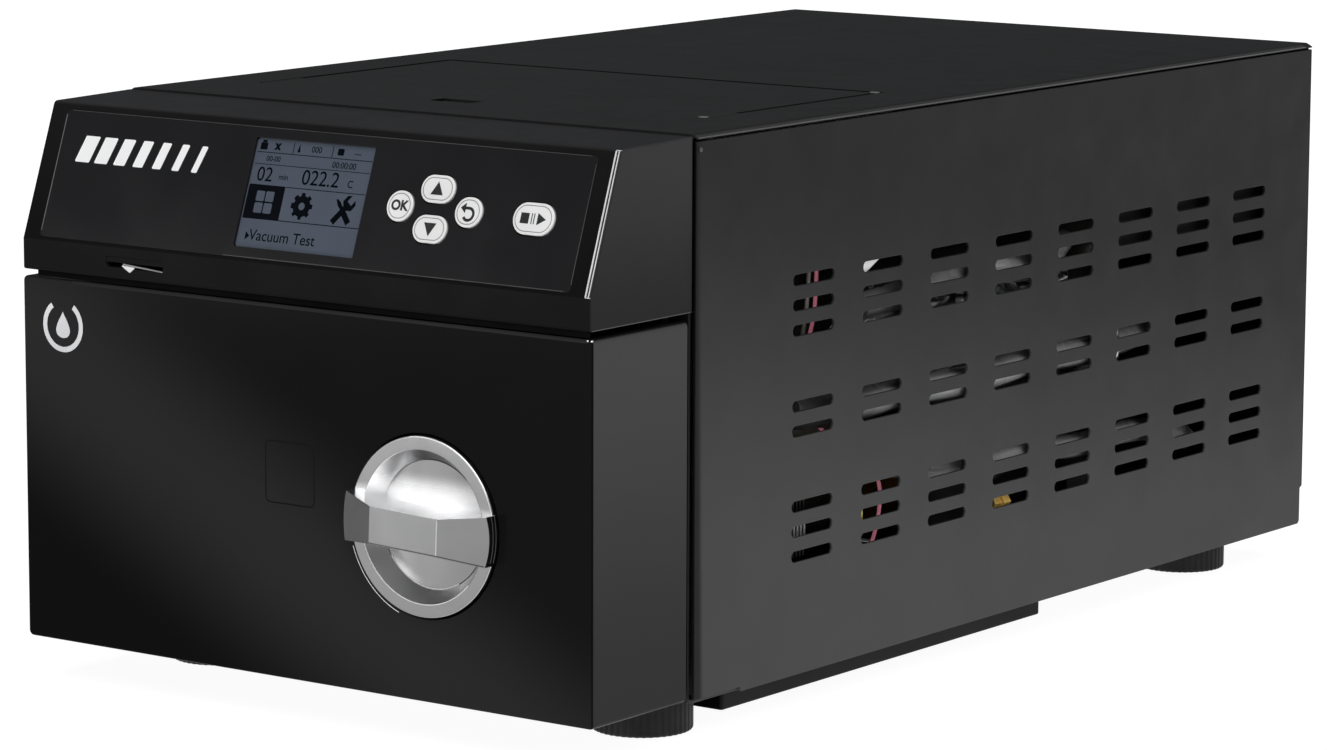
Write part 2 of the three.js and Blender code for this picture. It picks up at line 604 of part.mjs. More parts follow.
function tray(level) {
  const [half, front, back, wall, height] = [42.4, 20, 254, 0.9, 12];
  const low = CHAMBER.z + level + GAP;
  const body = box([-half, half], [front, back], [low, low + height]);
  const hollow = box([-half + wall, half - wall], [front + wall, back - wall],
    [low + wall, low + height + 5]);
  const drains = [-24, 0, 24].flatMap((x) => [60, 130, 200].map((y) => box([x - 8, x + 8], [y, y + 4],
    [low - 2, low + 2])));
  return cut(body, hollow, ...drains);
}

place('chamber_vessel', vessel(), 'stainless');
place('band_heater', sleeve(CHAMBER.bore + CHAMBER.wall + GAP, 61.4, 90, 150), 'steel');
place('insulation_jacket', sleeve(62, 68, 7, 262), 'fleece');
place('tray_rack', trayRack(), 'stainless');
place('tray_lower', tray(TRAY_LEVELS[0]), 'stainless');
place('tray_upper', tray(TRAY_LEVELS[1]), 'stainless');

// ---------------------------------------------------------------- water and steam circuit
function waterTank() {
  const body = box([-106, 106], [50, 165], [164, 224]);
  const flange = box([-112, 112], [43, 172], [222, 224]);
  const clean = box([-103.5, -1.2], [52.5, 162.5], [166.5, 230]);
  const used = box([1.2, 103.5], [52.5, 162.5], [166.5, 230]);
  return cut(join(body, flange), clean, used);
}

function steamGenerator() {
  return turned('z', [[0, 20], [30, 20], [30, 24], [27, 24], [27, 104], [20, 112], [6, 112], [6, 122],
    [0, 122]], [-88, 335], 16);
}

function vacuumPump() {
  const motor = rod('y', 26, 292, 352, [55, 50], 24);
  const head = box([25, 85], [352, 376], [24, 90]);
  const ports = [40, 70].map((x) => rod('z', 4, 88, 104, [x, 364], 10));
  const sole = box([25, 85], [296, 376], [18, 25]);
  return join(motor, head, sole, ...ports);
}

function solenoidValve() {
  const body = box([84, 112], [192, 226], [50, 72]);
  const ports = [rod('y', 6, 180, 238, [98, 61], 12), rod('z', 9, 70, 76, [98, 209], 12)];
  return join(body, ...ports);
}

function safetyValve() {
  return turned('z', [[0, 158.8], [7, 158.8], [7, 166], [11, 166], [11, 172], [6, 174], [6, 190],
    [9, 192], [9, 197], [0, 197]], [-30, 235], 16);
}

function radiator() {
  const [left, right, pitch, fin] = [-66, 66, 6, 1.6];
  const outline = [[left, 425], [left, 405]];
  for (let x = left + fin; x + pitch < right; x += pitch) {
    outline.push([x, 405], [x, 421], [x + pitch - fin, 421], [x + pitch - fin, 405]);
  }
  outline.push([right, 405], [right, 425]);
  return plate('z', polygon(outline.reverse()), 98, 214);
}

function coupling(x) {
  return turned('y', [[0, 452], [5.5, 452], [5.5, 462.8], [10, 462.8], [10, 466], [5, 466], [5, 468],
    [6, 469.5], [4.6, 471.5], [6, 473], [4.4, COUPLING_REACH], [0, COUPLING_REACH]],
  [x, COUPLING_Z], 10);
}

function drainHose() {
  return tube([[98, 238.4, 61], [98, 262, 61], [100, 285, 68], [103, 330, 92], [98, 380, 120],
    [60, 396, 128], [0, 396, 96], [-70, 398, 60], [-100, 415, 46], [COUPLINGS[0], 432, COUPLING_Z],
    [COUPLINGS[0], 451.6, COUPLING_Z]], 4.5, 8, 32);
}

function sensorWire() {
  return tube([[131, 92, 206], [131, 92, 145], [118, 95, 130], [105, 110, 115], [120, 130, 90],
    [131, 137.5, 81], [131, 137.5, 71], [131, 134, 60], [127, 131, 45], [122, 130, 22]], 1.6, 8, 22);
}

place('water_tank', waterTank(), 'whitePlastic');
place('steam_generator', steamGenerator(), 'stainless');
place('vacuum_pump', vacuumPump(), 'steel');
place('solenoid_valve', solenoidValve(), 'brass');
place('solenoid_coil', box([84, 112], [195, 223], [76.3, 104]), 'mouldedBlack');
place('safety_valve', safetyValve(), 'brass');
place('condenser_radiator', radiator(), 'steel');
place('drain_coupling', coupling(COUPLINGS[0]), 'whitePlastic');
place('exhaust_coupling', coupling(COUPLINGS[1]), 'whitePlastic');
place('drain_hose', drainHose(), 'silicone');
place('sensor_wire', sensorWire(), 'pinkWire');

// ---------------------------------------------------------------- electrical parts
function fanFrame() {
  const [half, x, z] = [FAN.size / 2, FAN.x, FAN.z];
  const outline = roundRect(x - half, x + half, z - half, z + half, 5);
  const frame = cut(plate('y', outline, FAN.front, FAN.back),
    rod('y', FAN.bore, FAN.front - 5, FAN.back + 5, [x, z], 24));
  const hub = rod('y', 15, FAN.back - 4, FAN.back, [x, z]);
  const depth = [FAN.back - 3.5, FAN.back - 0.5];
  const struts = [0, 1, 2, 3].map((i) => box([10, FAN.bore + 1.5], depth, [-1.5, 1.5])
    .rotateY(Math.PI / 4 + (i * Math.PI) / 2).translate(x, 0, z));
  return join(frame, hub, ...struts);
}

function fanRotor() {
  const hub = rod('y', 15, FAN.front + 2, FAN.back - 4.8, [0, 0]);
  const blades = Array.from({ length: 7 }, (_, i) => box([12, FAN.bore - 2], [-7, 7], [-0.8, 0.8])
    .rotateX(0.75).translate(0, FAN.front + 8.5, 0).rotateY((2 * Math.PI * i) / 7));
  return join(hub, ...blades).translate(FAN.x, 0, FAN.z);
}

function powerInlet() {
  const { x, z } = INLET;
  const flange = box([x - 25, x + 25], [DEPTH + GAP, DEPTH + 3], [z - 12.5, z + 12.5]);
  const body = box([x - 14, x + 14], [442, DEPTH + 1], [z - 10, z + 10]);
  const socket = box([x - 12, x + 12], [DEPTH - 12, DEPTH + 10], [z - 8.2, z + 8.2]);
  const blades = [[-7, -1.5], [0, 2.5], [7, -1.5]].map(([dx, dz]) => box([x + dx - 1, x + dx + 1],
    [DEPTH - 14, DEPTH], [z + dz, z + dz + 4]));
  return join(cut(join(flange, body), socket), ...blades);
}

function powerSwitch() {
  const { x, z } = SWITCH;
  const flange = box([x - 13.5, x + 13.5], [DEPTH + GAP, DEPTH + 2.3], [z - 16.5, z + 16.5]);
  const body = box([x - 11, x + 11], [440, DEPTH + 1], [z - 14, z + 14]);
  return cut(join(flange, body), box([x - 9, x + 9], [DEPTH - 12, DEPTH + 10], [z - 12, z + 12]));
}

function powerRocker() {
  const pressed = THREE.MathUtils.degToRad(9);
  const side = polygon([[-7, -8], [-7, 8], [1.2, 11], [2.6, 11], [1.2, 0], [2.6, -11], [1.2, -11]]);
  return plate('x', side, -8.5, 8.5).rotateX(pressed).translate(SWITCH.x, DEPTH, SWITCH.z);
}

function mainBoard() {
  const [inner, outer] = [-133.6, -132];
  const parts = [[200, 225, 130, 150, 14], [240, 262, 135, 158, 18], [300, 330, 128, 160, 22],
    [350, 366, 150, 190, 12], [220, 290, 175, 190, 10], [390, 420, 130, 150, 16]];
  return join(box([inner, outer], [185, 440], [120, 214]), ...parts.map(([y0, y1, z0, z1, rise]) => box(
    [outer - 1, outer + rise], [y0, y1], [z0, z1])));
}

place('fan_frame', fanFrame(), 'mouldedBlack');
place('fan_rotor', fanRotor(), 'mouldedBlack');
place('power_inlet', powerInlet(), 'mouldedBlack');
place('power_switch', powerSwitch(), 'mouldedBlack');
place('power_rocker', powerRocker(), 'glossBlack');
place('main_board', mainBoard(), 'board');
place('power_supply', box([72, 132], [300, 430], [150, 212]), 'stainless');

export default machine;
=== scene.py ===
import json
import math

import bmesh
import bpy
from mathutils import Matrix, Vector, noise


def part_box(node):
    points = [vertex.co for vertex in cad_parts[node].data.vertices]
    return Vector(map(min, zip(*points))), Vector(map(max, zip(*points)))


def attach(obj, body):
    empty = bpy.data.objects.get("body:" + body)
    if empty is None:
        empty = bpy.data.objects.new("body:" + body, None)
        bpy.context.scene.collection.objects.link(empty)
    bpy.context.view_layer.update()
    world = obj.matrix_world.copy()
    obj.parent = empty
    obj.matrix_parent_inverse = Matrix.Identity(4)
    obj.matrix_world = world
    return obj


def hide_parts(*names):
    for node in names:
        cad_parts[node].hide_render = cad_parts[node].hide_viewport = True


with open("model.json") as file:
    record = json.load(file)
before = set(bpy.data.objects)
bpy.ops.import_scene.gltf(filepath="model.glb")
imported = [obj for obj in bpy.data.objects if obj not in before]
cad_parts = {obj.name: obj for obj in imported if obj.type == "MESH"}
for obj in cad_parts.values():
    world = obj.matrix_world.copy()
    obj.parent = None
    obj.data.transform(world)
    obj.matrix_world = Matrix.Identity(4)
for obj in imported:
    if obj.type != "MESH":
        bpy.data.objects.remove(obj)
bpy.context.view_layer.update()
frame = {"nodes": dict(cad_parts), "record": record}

MM = 0.001
PANEL_LOW, PANEL_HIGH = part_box("right_side_panel")
HOME = Matrix.Translation((0, PANEL_LOW.y, 0)) @ Matrix.Scale(MM, 4)

HALF = PANEL_HIGH.x / MM
DEPTH = (PANEL_HIGH.y - PANEL_LOW.y) / MM
SIDE_LOW, SIDE_TOP = PANEL_LOW.z / MM, PANEL_HIGH.z / MM
SHEET = 1.2
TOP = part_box("top_cover")[1].z / MM


def place(node):
    """Lowest and highest corners of a CAD node, in millimetres in the housing's frame."""
    low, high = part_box(node)
    return [HOME.inverted() @ corner for corner in (low, high)]


DOOR_LOW, DOOR_HIGH = place("door_shell")
FASCIA_LOW, FASCIA_HIGH = place("fascia_shell")
KNOB_X, KNOB_Z, KNOB_RADIUS, KNOB_TILT = 61.5, 84, 34.25, 2.4
DISH_RADIUS = 24.5
CHAMBER_AXIS = (0, 89.3)
EMBLEM_X, EMBLEM_Z = -119, 143
LID_HALF, LID_FRONT = place("reservoir_lid")[1].x, 45.2
PULL_SPAN = (-14, 6)
PORT_SLOT = ((-95.5, -66), (168.4, 172.6))
TRIM_SPAN = (136.5, 138.8)
VENT_SIZE, VENT_COLUMNS, VENT_ROWS = (27.5, 4.2), 8, (0, 1, 2, 5, 6, 9, 10, 11)
VENT_FIRST, VENT_TOP, VENT_PITCH, VENT_ROW_PITCH = 77.15, 168.8, 47.5, 9.73

# ---- camera, light and floor
CAMERA_AZIMUTH, CAMERA_ELEVATION, CAMERA_ROLL = 36.188, 9.047, 0.204
CAMERA_PLACE = (1230.1, -1510.1, 437.2)
CAMERA_LENS, SENSOR = 138.2, 36


def make_camera():
    azimuth, elevation, roll = (math.radians(a) for a in (CAMERA_AZIMUTH, CAMERA_ELEVATION, CAMERA_ROLL))
    tilt = Matrix.Rotation(math.pi / 2 - elevation, 4, "X")
    turn = Matrix.Rotation(azimuth, 4, "Z") @ tilt @ Matrix.Rotation(roll, 4, "Z")
    data = bpy.data.cameras.new("camera")
    data.lens, data.sensor_width = CAMERA_LENS, SENSOR
    data.clip_end = 100
    camera = bpy.data.objects.new("camera", data)
    camera.matrix_world = Matrix.Translation(HOME @ Vector(CAMERA_PLACE)) @ turn
    bpy.context.scene.collection.objects.link(camera)
    bpy.context.scene.camera = camera


def aim(light, place, target):
    light.location = place
    light.rotation_euler = (Vector(target) - Vector(place)).to_track_quat("-Z", "Y").to_euler()
    bpy.context.scene.collection.objects.link(light)


def softbox(name, place, target, size, power, only_reflected=False):
    data = bpy.data.lights.new(name, "AREA")
    data.shape, data.size, data.size_y, data.energy = "RECTANGLE", size[0], size[1], power
    light = bpy.data.objects.new(name, data)
    light.visible_camera = False
    light.visible_diffuse = not only_reflected
    aim(light, place, target)


def make_light():
    world = bpy.data.worlds.new("studio")
    world.use_nodes = True
    background = world.node_tree.nodes["Background"]
    background.inputs["Color"].default_value = (0.9, 0.95, 1, 1)
    background.inputs["Strength"].default_value = 0.09
    bpy.context.scene.world = world
    sun = bpy.data.lights.new("overhead", "SUN")
    sun.energy, sun.angle = 2.4, math.radians(70)
    aim(bpy.data.objects.new("overhead", sun), (0.9, -1.0, 2.6), (0, 0, 0))
    softbox("front_card", (-0.42, -0.93, 0.235), (0.06, -0.27, 0.12), (0.5, 0.4), 1.9, True)
    softbox("overhead_card", (-0.6, -0.2, 1.4), (0, -0.2, 0), (1.4, 1.4), 3.6, True)
    softbox("right_side", (2.4, 0.4, 1.5), (0, 0, 0.12), (1.6, 1.4), 10)


def make_floor():
    bm = bmesh.new()
    bmesh.ops.create_grid(bm, x_segments=12, y_segments=12, size=14)
    floor = as_object(bm, "floor")
    shader = Shader("studio_floor", 0.1).set(Roughness=0.9).tint(0.16, 0.2, 3)
    shader.set(**{"Emission Strength": 0.95, "Emission Color": (1, 1, 1, 1)})
    floor.data.materials.append(shader.data)


# ---- materials
class Shader:
    """A node material around one Principled shader, with small helpers for its colour, bump and roughness."""

    def __init__(self, name, specular=0.5, metallic=0):
        self.name = name
        self.data = bpy.data.materials.new(name)
        self.data.use_nodes = True
        self.nodes, self.links = self.data.node_tree.nodes, self.data.node_tree.links
        self.main = self.nodes["Principled BSDF"]
        self.coordinates = self.nodes.new("ShaderNodeTexCoord")
        self.set(**{"Specular IOR Level": specular, "Metallic": metallic})

    def feed(self, node, inputs):
        """Sets a node's inputs, or links those that are given as sockets."""
        for name, value in inputs.items():
            if isinstance(value, bpy.types.NodeSocket):
                self.links.new(value, node.inputs[name])
            else:
                node.inputs[name].default_value = value
        return node

    def set(self, **values):
        self.feed(self.main, values)
        return self

    def stretched(self, scale):
        mapping = self.nodes.new("ShaderNodeMapping")
        self.feed(mapping, {"Scale": scale, "Vector": self.coordinates.outputs["Object"]})
        return mapping.outputs["Vector"]

    def noise(self, scale, detail=3, stretch=(1, 1, 1)):
        node = self.nodes.new("ShaderNodeTexNoise")
        self.feed(node, {"Scale": scale, "Detail": detail, "Vector": self.stretched(stretch)})
        return node.outputs["Fac"]

    def ramp(self, value, low, high, start=0.3, end=0.7, interpolation="LINEAR"):
        ramp = self.nodes.new("ShaderNodeMapRange")
        ramp.interpolation_type = interpolation
        self.feed(ramp, {"Value": value, "From Min": start, "From Max": end, "To Min": low, "To Max": high})
        return ramp.outputs["Result"]

    def multiplied(self, *factors):
        """The product of several sockets."""
        product = factors[0]
        for factor in factors[1:]:
            node = self.nodes.new("ShaderNodeMath")
            node.operation = "MULTIPLY"
            product = self.feed(node, {0: product, 1: factor}).outputs[0]
        return product

    def blend(self, factor, low, high):
        """Goes from one value to another as the factor goes from 0 to 1."""
        mix = self.nodes.new("ShaderNodeMix")
        return self.feed(mix, {"Factor": factor, "A": low, "B": high}).outputs["Result"]

    def along(self, direction, start, end, source="Object", low=0, high=1):
        """Goes smoothly from low to high between two distances in millimetres along a direction."""
        dot = self.nodes.new("ShaderNodeVectorMath")
        dot.operation = "DOT_PRODUCT"
        self.feed(dot, {0: self.coordinates.outputs[source], 1: direction})
        if source == "Object":
            origin = HOME.translation.dot(Vector(direction))
            start, end = origin + start * MM, origin + end * MM
        return self.ramp(dot.outputs["Value"], low, high, start, end, "SMOOTHSTEP")

    def tint(self, dark, light, scale, stretch=(1, 1, 1)):
        """A base colour that a noise mixes from two; one number stands for a grey."""
        mix = self.nodes.new("ShaderNodeMix")
        mix.data_type = "RGBA"
        colours = [(*colour, 1) if isinstance(colour, tuple) else (colour, colour, colour, 1)
                   for colour in (dark, light)]
        factor = self.ramp(self.noise(scale, 4, stretch), 0, 1)
        self.feed(mix, {"A": colours[0], "B": colours[1], "Factor": factor})
        return self.set(**{"Base Color": mix.outputs["Result"]})

    def shade(self, factor):
        """Multiplies the base colour by a factor."""
        scale = self.nodes.new("ShaderNodeVectorMath")
        scale.operation = "SCALE"
        self.feed(scale, {0: self.main.inputs["Base Color"].links[0].from_socket, "Scale": factor})
        return self.set(**{"Base Color": scale.outputs["Vector"]})

    def rough(self, low, high, scale, stretch=(1, 1, 1)):
        return self.set(Roughness=self.ramp(self.noise(scale, 3, stretch), low, high))

    def bump(self, height, scale, detail=2, stretch=(1, 1, 1)):
        return self.relief(self.noise(scale, detail, stretch), height)

    def relief(self, value, height):
        """Adds a bump, with its height in millimetres, to the bumps that are there already."""
        bump = self.nodes.new("ShaderNodeBump")
        self.feed(bump, {"Distance": height * MM, "Strength": 1, "Height": value})
        normal = self.main.inputs["Normal"]
        if normal.is_linked:
            self.links.new(normal.links[0].from_socket, bump.inputs["Normal"])
        return self.set(Normal=bump.outputs["Normal"])


def powder_coat(name, painted_edge_shade=False):
    """Fine grey-black coat with painted light: flanks lighter towards the bench as a painted floor
    reflection, tops a darker painted tone; a side panel's front and rear edges get painted shade.
    """
    shader = Shader(name, 0.1)
    shader.tint((0.0225, 0.0225, 0.023), (0.0255, 0.0255, 0.026), 9)
    # Painted floor reflection: flanks lighter low down, darker high up.
    flank = shader.along((0, 0.17, 1), 70, 225, low=2.2, high=0.6)
    # Painted shade along a side panel's front edge, widening towards the bottom, and along its rear edge.
    if painted_edge_shade:
        front = shader.along((0, 1, 0.0167), 3.3, 6.8, low=0.15)
        rear = shader.along((0, 1, 0), DEPTH - 1.8, DEPTH - 0.3, low=1, high=0.3)
        flank = shader.multiplied(flank, front, rear)
    # Painted shade on upward faces: a darker factor than the lower flanks, rising slightly towards the rear.
    top = shader.along((0, 1, 0), 0, DEPTH, low=0.62, high=0.68)
    shader.shade(shader.blend(shader.along((0, 0, 1), 0.5, 0.95, "Normal"), flank, top))
    return shader.rough(0.42, 0.5, 60).bump(0.02, 900).bump(0.04, 160)


def gloss_black():
    """Deep black paint with painted light: a diagonal band of painted sheen across the front, flanks painted
    lighter towards the top, and painted shade along the front's right edge.
    """
    shader = Shader("gloss_black", 0.015)
    shader.tint((0.0235, 0.0235, 0.0242), (0.0255, 0.0255, 0.0262), 7)
    # Painted sheen in a diagonal band across the front, flanks painted lighter towards the top, and painted
    # shade along the front's right edge.
    across = Vector((0.47, 0, 0.883))
    rise = shader.along(across, -10, 54, low=0.17, high=1)
    fall = shader.along(across, 58, 116, low=1, high=0.29)
    flank = shader.along((0, 0, 1), 20, 160, low=1.35, high=2.45)
    corner = shader.along((1, 0, 0), DOOR_HIGH.x - 1.3, DOOR_HIGH.x - 0.5, low=1, high=0.2)
    front = shader.multiplied(rise, fall, corner)
    shader.shade(shader.blend(shader.along((1, 0, 0), 0.5, 0.9, "Normal"), front, flank))
    return shader.rough(0.1, 0.15, 25).bump(0.006, 40)


def overlay_black():
    shader = Shader("overlay_black", 0.2)
    shader.tint((0.0112, 0.0112, 0.0122), (0.013, 0.013, 0.0141), 12)
    return shader.rough(0.18, 0.25, 40).bump(0.003, 300)


def moulded_black():
    """Fine-grained black moulding with painted light: lighter where it faces right and up, and painted darker
    lower down.
    """
    shader = Shader("moulded_black", 0.04)
    shader.tint((0.0048, 0.0048, 0.005), (0.0056, 0.0056, 0.0058), 14)
    # Painted light: brighter on faces turned right and up, and higher up.
    lift = shader.along((1, 0, 0.45), 0, 1, "Normal", 1, 5.8)
    shader.shade(shader.multiplied(lift, shader.along((0, 0, 1), 160, 230, low=0.55, high=1.27)))
    return shader.rough(0.32, 0.42, 50).bump(0.012, 1400).bump(0.012, 90)


def satin_silver(name="satin_silver"):
    shader = Shader(name, metallic=1)
    shader.tint((0.235, 0.235, 0.237), (0.275, 0.275, 0.277), 30)
    return shader.rough(0.2, 0.27, 90).bump(0.006, 2600, 3).bump(0.006, 500)


def satin_grip():
    """The handle's bar: the same silver, with painted shade where it faces left or down and a painted
    highlight where it faces up.
    """
    shader = satin_silver("satin_grip")
    # Painted shade on faces turned left or down, painted highlight on faces turned up.
    turned = shader.along((1, 0, 0), -0.34, -0.2, "Normal", 0.27, 1)
    upper = shader.along((0, 0, 1), 0.4, 0.8, "Normal", 1, 3.8)
    return shader.shade(shader.multiplied(turned, upper, shader.along((0, 0, 1), -0.8, -0.3, "Normal", 0.6)))


def above_knob(shader, start, end, low=0, high=1):
    """Goes from low to high between two heights over the handle's centre."""
    return shader.along((0, 0, 1), KNOB_Z + start, KNOB_Z + end, low=low, high=high)


def satin_crown():
    """The bottom of the handle's dish with a painted highlight: brightest and least metallic in a band just
    above the bar, brighter to the left; painted darker towards the top, to the right and low down.
    """
    shader = satin_silver("satin_crown")
    # Painted highlight in a band above the bar; painted shade higher up, to the right and low down.
    above = above_knob(shader, 7, 20, 2.1, 0.46)
    below = above_knob(shader, -12, -6, 0.52)
    left = shader.along((1, 0, 0), KNOB_X - 22, KNOB_X - 4, low=1.5)
    right = shader.along((1, 0, 0), KNOB_X + 2, KNOB_X + 20, low=1, high=0.85)
    beside = shader.multiplied(above_knob(shader, 11, 18, 1, 0), above_knob(shader, 0, 6))
    shader.set(Metallic=shader.ramp(beside, 1, 0.5, 0, 1))
    return shader.shade(shader.multiplied(above, below, left, right, shader.ramp(beside, 1, 1.4, 0, 1)))


def satin_dish():
    """The handle's rim and chamfer with painted light: tilted faces painted brighter, upward faces a little
    more, and a lighter, less metallic patch as a painted highlight above the bar's left end, where flat faces
    are up to three times brighter.
    """
    shader = satin_silver("satin_dish")
    slope = shader.along((0, 1, 0), -0.95, -0.7, "Normal")
    tilted, flat = shader.ramp(slope, 1, 2.1, 0, 1), shader.ramp(slope, 1, 0, 0, 1)
    upward = shader.along((0, 0, 1), 0.1, 0.6, "Normal", 1, 1.5)
    left = shader.along((-1, 0, 0), 12 - KNOB_X, 22 - KNOB_X)
    above = above_knob(shader, 0, 6)
    beside = above_knob(shader, 12, 19, 1, 0)
    # Painted highlight: a lighter, less metallic patch above the bar's left end.
    painted_highlight_patch = shader.multiplied(left, beside, above, slope)
    shader.set(Metallic=shader.ramp(painted_highlight_patch, 1, 0.25, 0, 1))
    painted_highlight_gain = shader.ramp(painted_highlight_patch, 1, 1.8, 0, 1)
    near = above_knob(shader, 9, 15, 1, 0)
    lit = shader.ramp(shader.multiplied(left, near, above, flat), 1, 3, 0, 1)
    return shader.shade(shader.multiplied(tilted, upward, painted_highlight_gain, lit))


def polished(name, dark, light, low, high, metallic=1, grain=40):
    shader = Shader(name, metallic=metallic)
    return shader.tint(dark, light, grain).rough(low, high, 60).bump(0.003, 700)


def brushed(name, dark, light):
    """Metal with fine lines along the x axis."""
    stretch = (1, 45, 45)
    shader = Shader(name, metallic=1).tint(dark, light, 12, stretch)
    return shader.rough(0.28, 0.34, 12, stretch).bump(0.001, 16, 2, stretch)


def rubber():
    shader = Shader("rubber", 0.3)
    return shader.tint(0.005, 0.009, 60).rough(0.5, 0.7, 80).bump(0.04, 500)


def plastic(name, dark, light, low=0.3, high=0.42, specular=0.5):
    shader = Shader(name, specular)
    return shader.tint(dark, light, 30).rough(low, high, 60).bump(0.01, 700)


def pink_wire():
    """A thin bright lead with a faint painted glow, so it stays readable in the dark behind the vents."""
    shader = plastic("pink_wire", (0.9, 0.3, 0.42), (0.98, 0.4, 0.52), specular=0.3)
    # Painted glow: a faint emission.
    return shader.set(**{"Emission Strength": 0.16, "Emission Color": (1, 0.3, 0.42, 1)})


def screen_glass():
    """A lit display: blue-grey, with a fine grid."""
    shader = Shader("screen", 0.25)
    shader.set(**{"Emission Strength": 0.03, "Emission Color": (0.3, 0.36, 0.47, 1)})
    shader.tint((0.062, 0.074, 0.098), (0.07, 0.083, 0.11), 20)
    grid = shader.nodes.new("ShaderNodeTexChecker")
    shader.feed(grid, {"Scale": 3600, "Vector": shader.stretched((1, 1, 1))})
    return shader.relief(grid.outputs["Fac"], 0.002).rough(0.15, 0.25, 40)


def fleece():
    shader = Shader("fleece", 0.1).set(**{"Sheen Weight": 0.3})
    return shader.tint((0.42, 0.39, 0.33), (0.6, 0.57, 0.49), 90).rough(0.85, 0.95, 50).bump(0.5, 260, 6)


def make_materials():
    made = [
        # panel_coat: the coat with painted shade along a side panel's front and rear edges.
        powder_coat("powder_coat"), powder_coat("panel_coat", painted_edge_shade=True),
        gloss_black(), overlay_black(), moulded_black(),
        satin_silver(), satin_grip(), satin_crown(), satin_dish(),
        # A light, barely metallic white for painted highlights and glints.
        polished("painted_glint_white", 0.8, 0.88, 0.25, 0.35, 0.25, 30),
        polished("chrome", (0.72, 0.73, 0.74), (0.8, 0.81, 0.82), 0.05, 0.12),
        brushed("stainless", (0.52, 0.52, 0.51), (0.6, 0.6, 0.59)),
        brushed("steel", 0.32, 0.38),
        polished("brass", (0.5, 0.27, 0.06), (0.66, 0.4, 0.1), 0.25, 0.4),
        # A lighter, mostly diffuse copy of brass: painted light, so the union shows bright behind the vents.
        polished("brass_painted_lit", (0.95, 0.6, 0.14), (1, 0.72, 0.22), 0.25, 0.4, 0.2),
        rubber(),
        plastic("silicone", (0.5, 0.48, 0.44), (0.62, 0.6, 0.55), 0.45, 0.6),
        screen_glass(),
        plastic("white_plastic", (0.82, 0.82, 0.81), (0.9, 0.9, 0.89)),
        plastic("circuit_board", (0.01, 0.1, 0.04), (0.02, 0.17, 0.07), 0.35, 0.5),
        fleece(),
        pink_wire(),
        plastic("yellow_tag", (0.6, 0.5, 0.05), (0.7, 0.6, 0.1)),
        plastic("print_white", 0.93, 0.98, 0.3, 0.4),
        plastic("print_grey", 0.2, 0.28, 0.3, 0.4),
        # A light grey for painted highlights on edges and small marks.
        plastic("painted_light_grey", 0.12, 0.16, 0.3, 0.4),
        # A dim grey: painted highlight lines on lower edges, a painted shadow line under the handle's bar,
        # and screw heads.
        plastic("edge_dim", 0.04, 0.055, 0.3, 0.4),
        polished("foil", 0.5, 0.7, 0.2, 0.35),
        plastic("grey_hose", 0.3, 0.5, 0.2, 0.35),
        plastic("print_black", 0.006, 0.01),
        # A grey for the painted light on the cover's side folds.
        plastic("painted_fold_light", (0.035, 0.035, 0.0355), (0.04, 0.04, 0.0405), 0.4, 0.5, 0.1),
        plastic("liner_grey", 0.06, 0.08, 0.5, 0.6, 0.1),
        # A near-black for seals and for painted shade in gaps and along the lid's edges.
        plastic("seal_and_shade_black", 0.004, 0.006, 0.5, 0.6, 0),
        # A dark grey: the painted highlight line along the door's top edge, and the supply cover.
        plastic("dim_black", 0.018, 0.024, 0.4, 0.5, 0.04),
        plastic("screen_ink", (0.002, 0.003, 0.005), (0.005, 0.006, 0.008), 0.5, 0.6, 0),
        # Silver for print and for painted highlight strips on the handle.
        polished("silver_print_and_glint", (0.36, 0.36, 0.37), (0.45, 0.45, 0.46), 0.3, 0.4),
    ]
    return {shader.name: shader.data for shader in made}


# ---- mesh helpers, in millimetres
def spot(axis, first, second, along):
    """A point from two coordinates across an axis and one along it."""
    return {"x": (along, first, second), "y": (first, along, second), "z": (first, second, along)}[axis]


def rect(x0, x1, y0, y1, radius=0, steps=6):
    corners = [(x0, y0), (x1, y0), (x1, y1), (x0, y1)]
    return fillet(corners, radius, steps) if radius else corners


def fillet(corners, radius, steps=6):
    """The polygon with its corners rounded, by one radius or by one for each corner."""
    count = len(corners)
    radii = radius if isinstance(radius, tuple) else [radius] * count
    points = []
    for i, corner in enumerate(corners):
        here = Vector(corner)
        if radii[i] <= 0:
            points.append(tuple(here))
            continue
        before = (Vector(corners[i - 1]) - here).normalized()
        after = (Vector(corners[(i + 1) % count]) - here).normalized()
        half = before.angle(after) / 2
        centre = here + (before + after).normalized() * radii[i] / math.sin(half)
        start = here + before * radii[i] / math.tan(half) - centre
        end = here + after * radii[i] / math.tan(half) - centre
        sweep = math.atan2(start.x * end.y - start.y * end.x, start.dot(end))
        for k in range(steps + 1):
            points.append(tuple(centre + Matrix.Rotation(sweep * k / steps, 2) @ start))
    return points


def stadium(x, y, width, height, grow=0, steps=10):
    w, h = width / 2 + grow, height / 2 + grow
    return rect(x - w, x + w, y - h, y + h, min(w, h) - 0.02, steps)


def around(x, y, reaches):
    """A closed outline with its points at equal turns around a centre, each at its own distance."""
    turns = [2 * math.pi * i / len(reaches) for i in range(len(reaches))]
    return [(x + reach * math.cos(turn), y + reach * math.sin(turn)) for reach, turn in zip(reaches, turns)]


def circle(x, y, radius, steps=32):
    return around(x, y, [radius] * steps)


def arc_band(x, y, radius, width, start, end, steps=20):
    """A strip of even width along an arc, its ends given in degrees."""
    angles = [math.radians(start + (end - start) * i / steps) for i in range(steps + 1)]
    outer, inner = ([(x + reach * math.cos(a), y + reach * math.sin(a)) for a in angles]
                    for reach in (radius + width / 2, radius - width / 2))
    return outer + inner[::-1]


def mirrored(outline):
    """An outline on the right and the same one on the left."""
    return [outline, [(-x, y) for x, y in outline]]


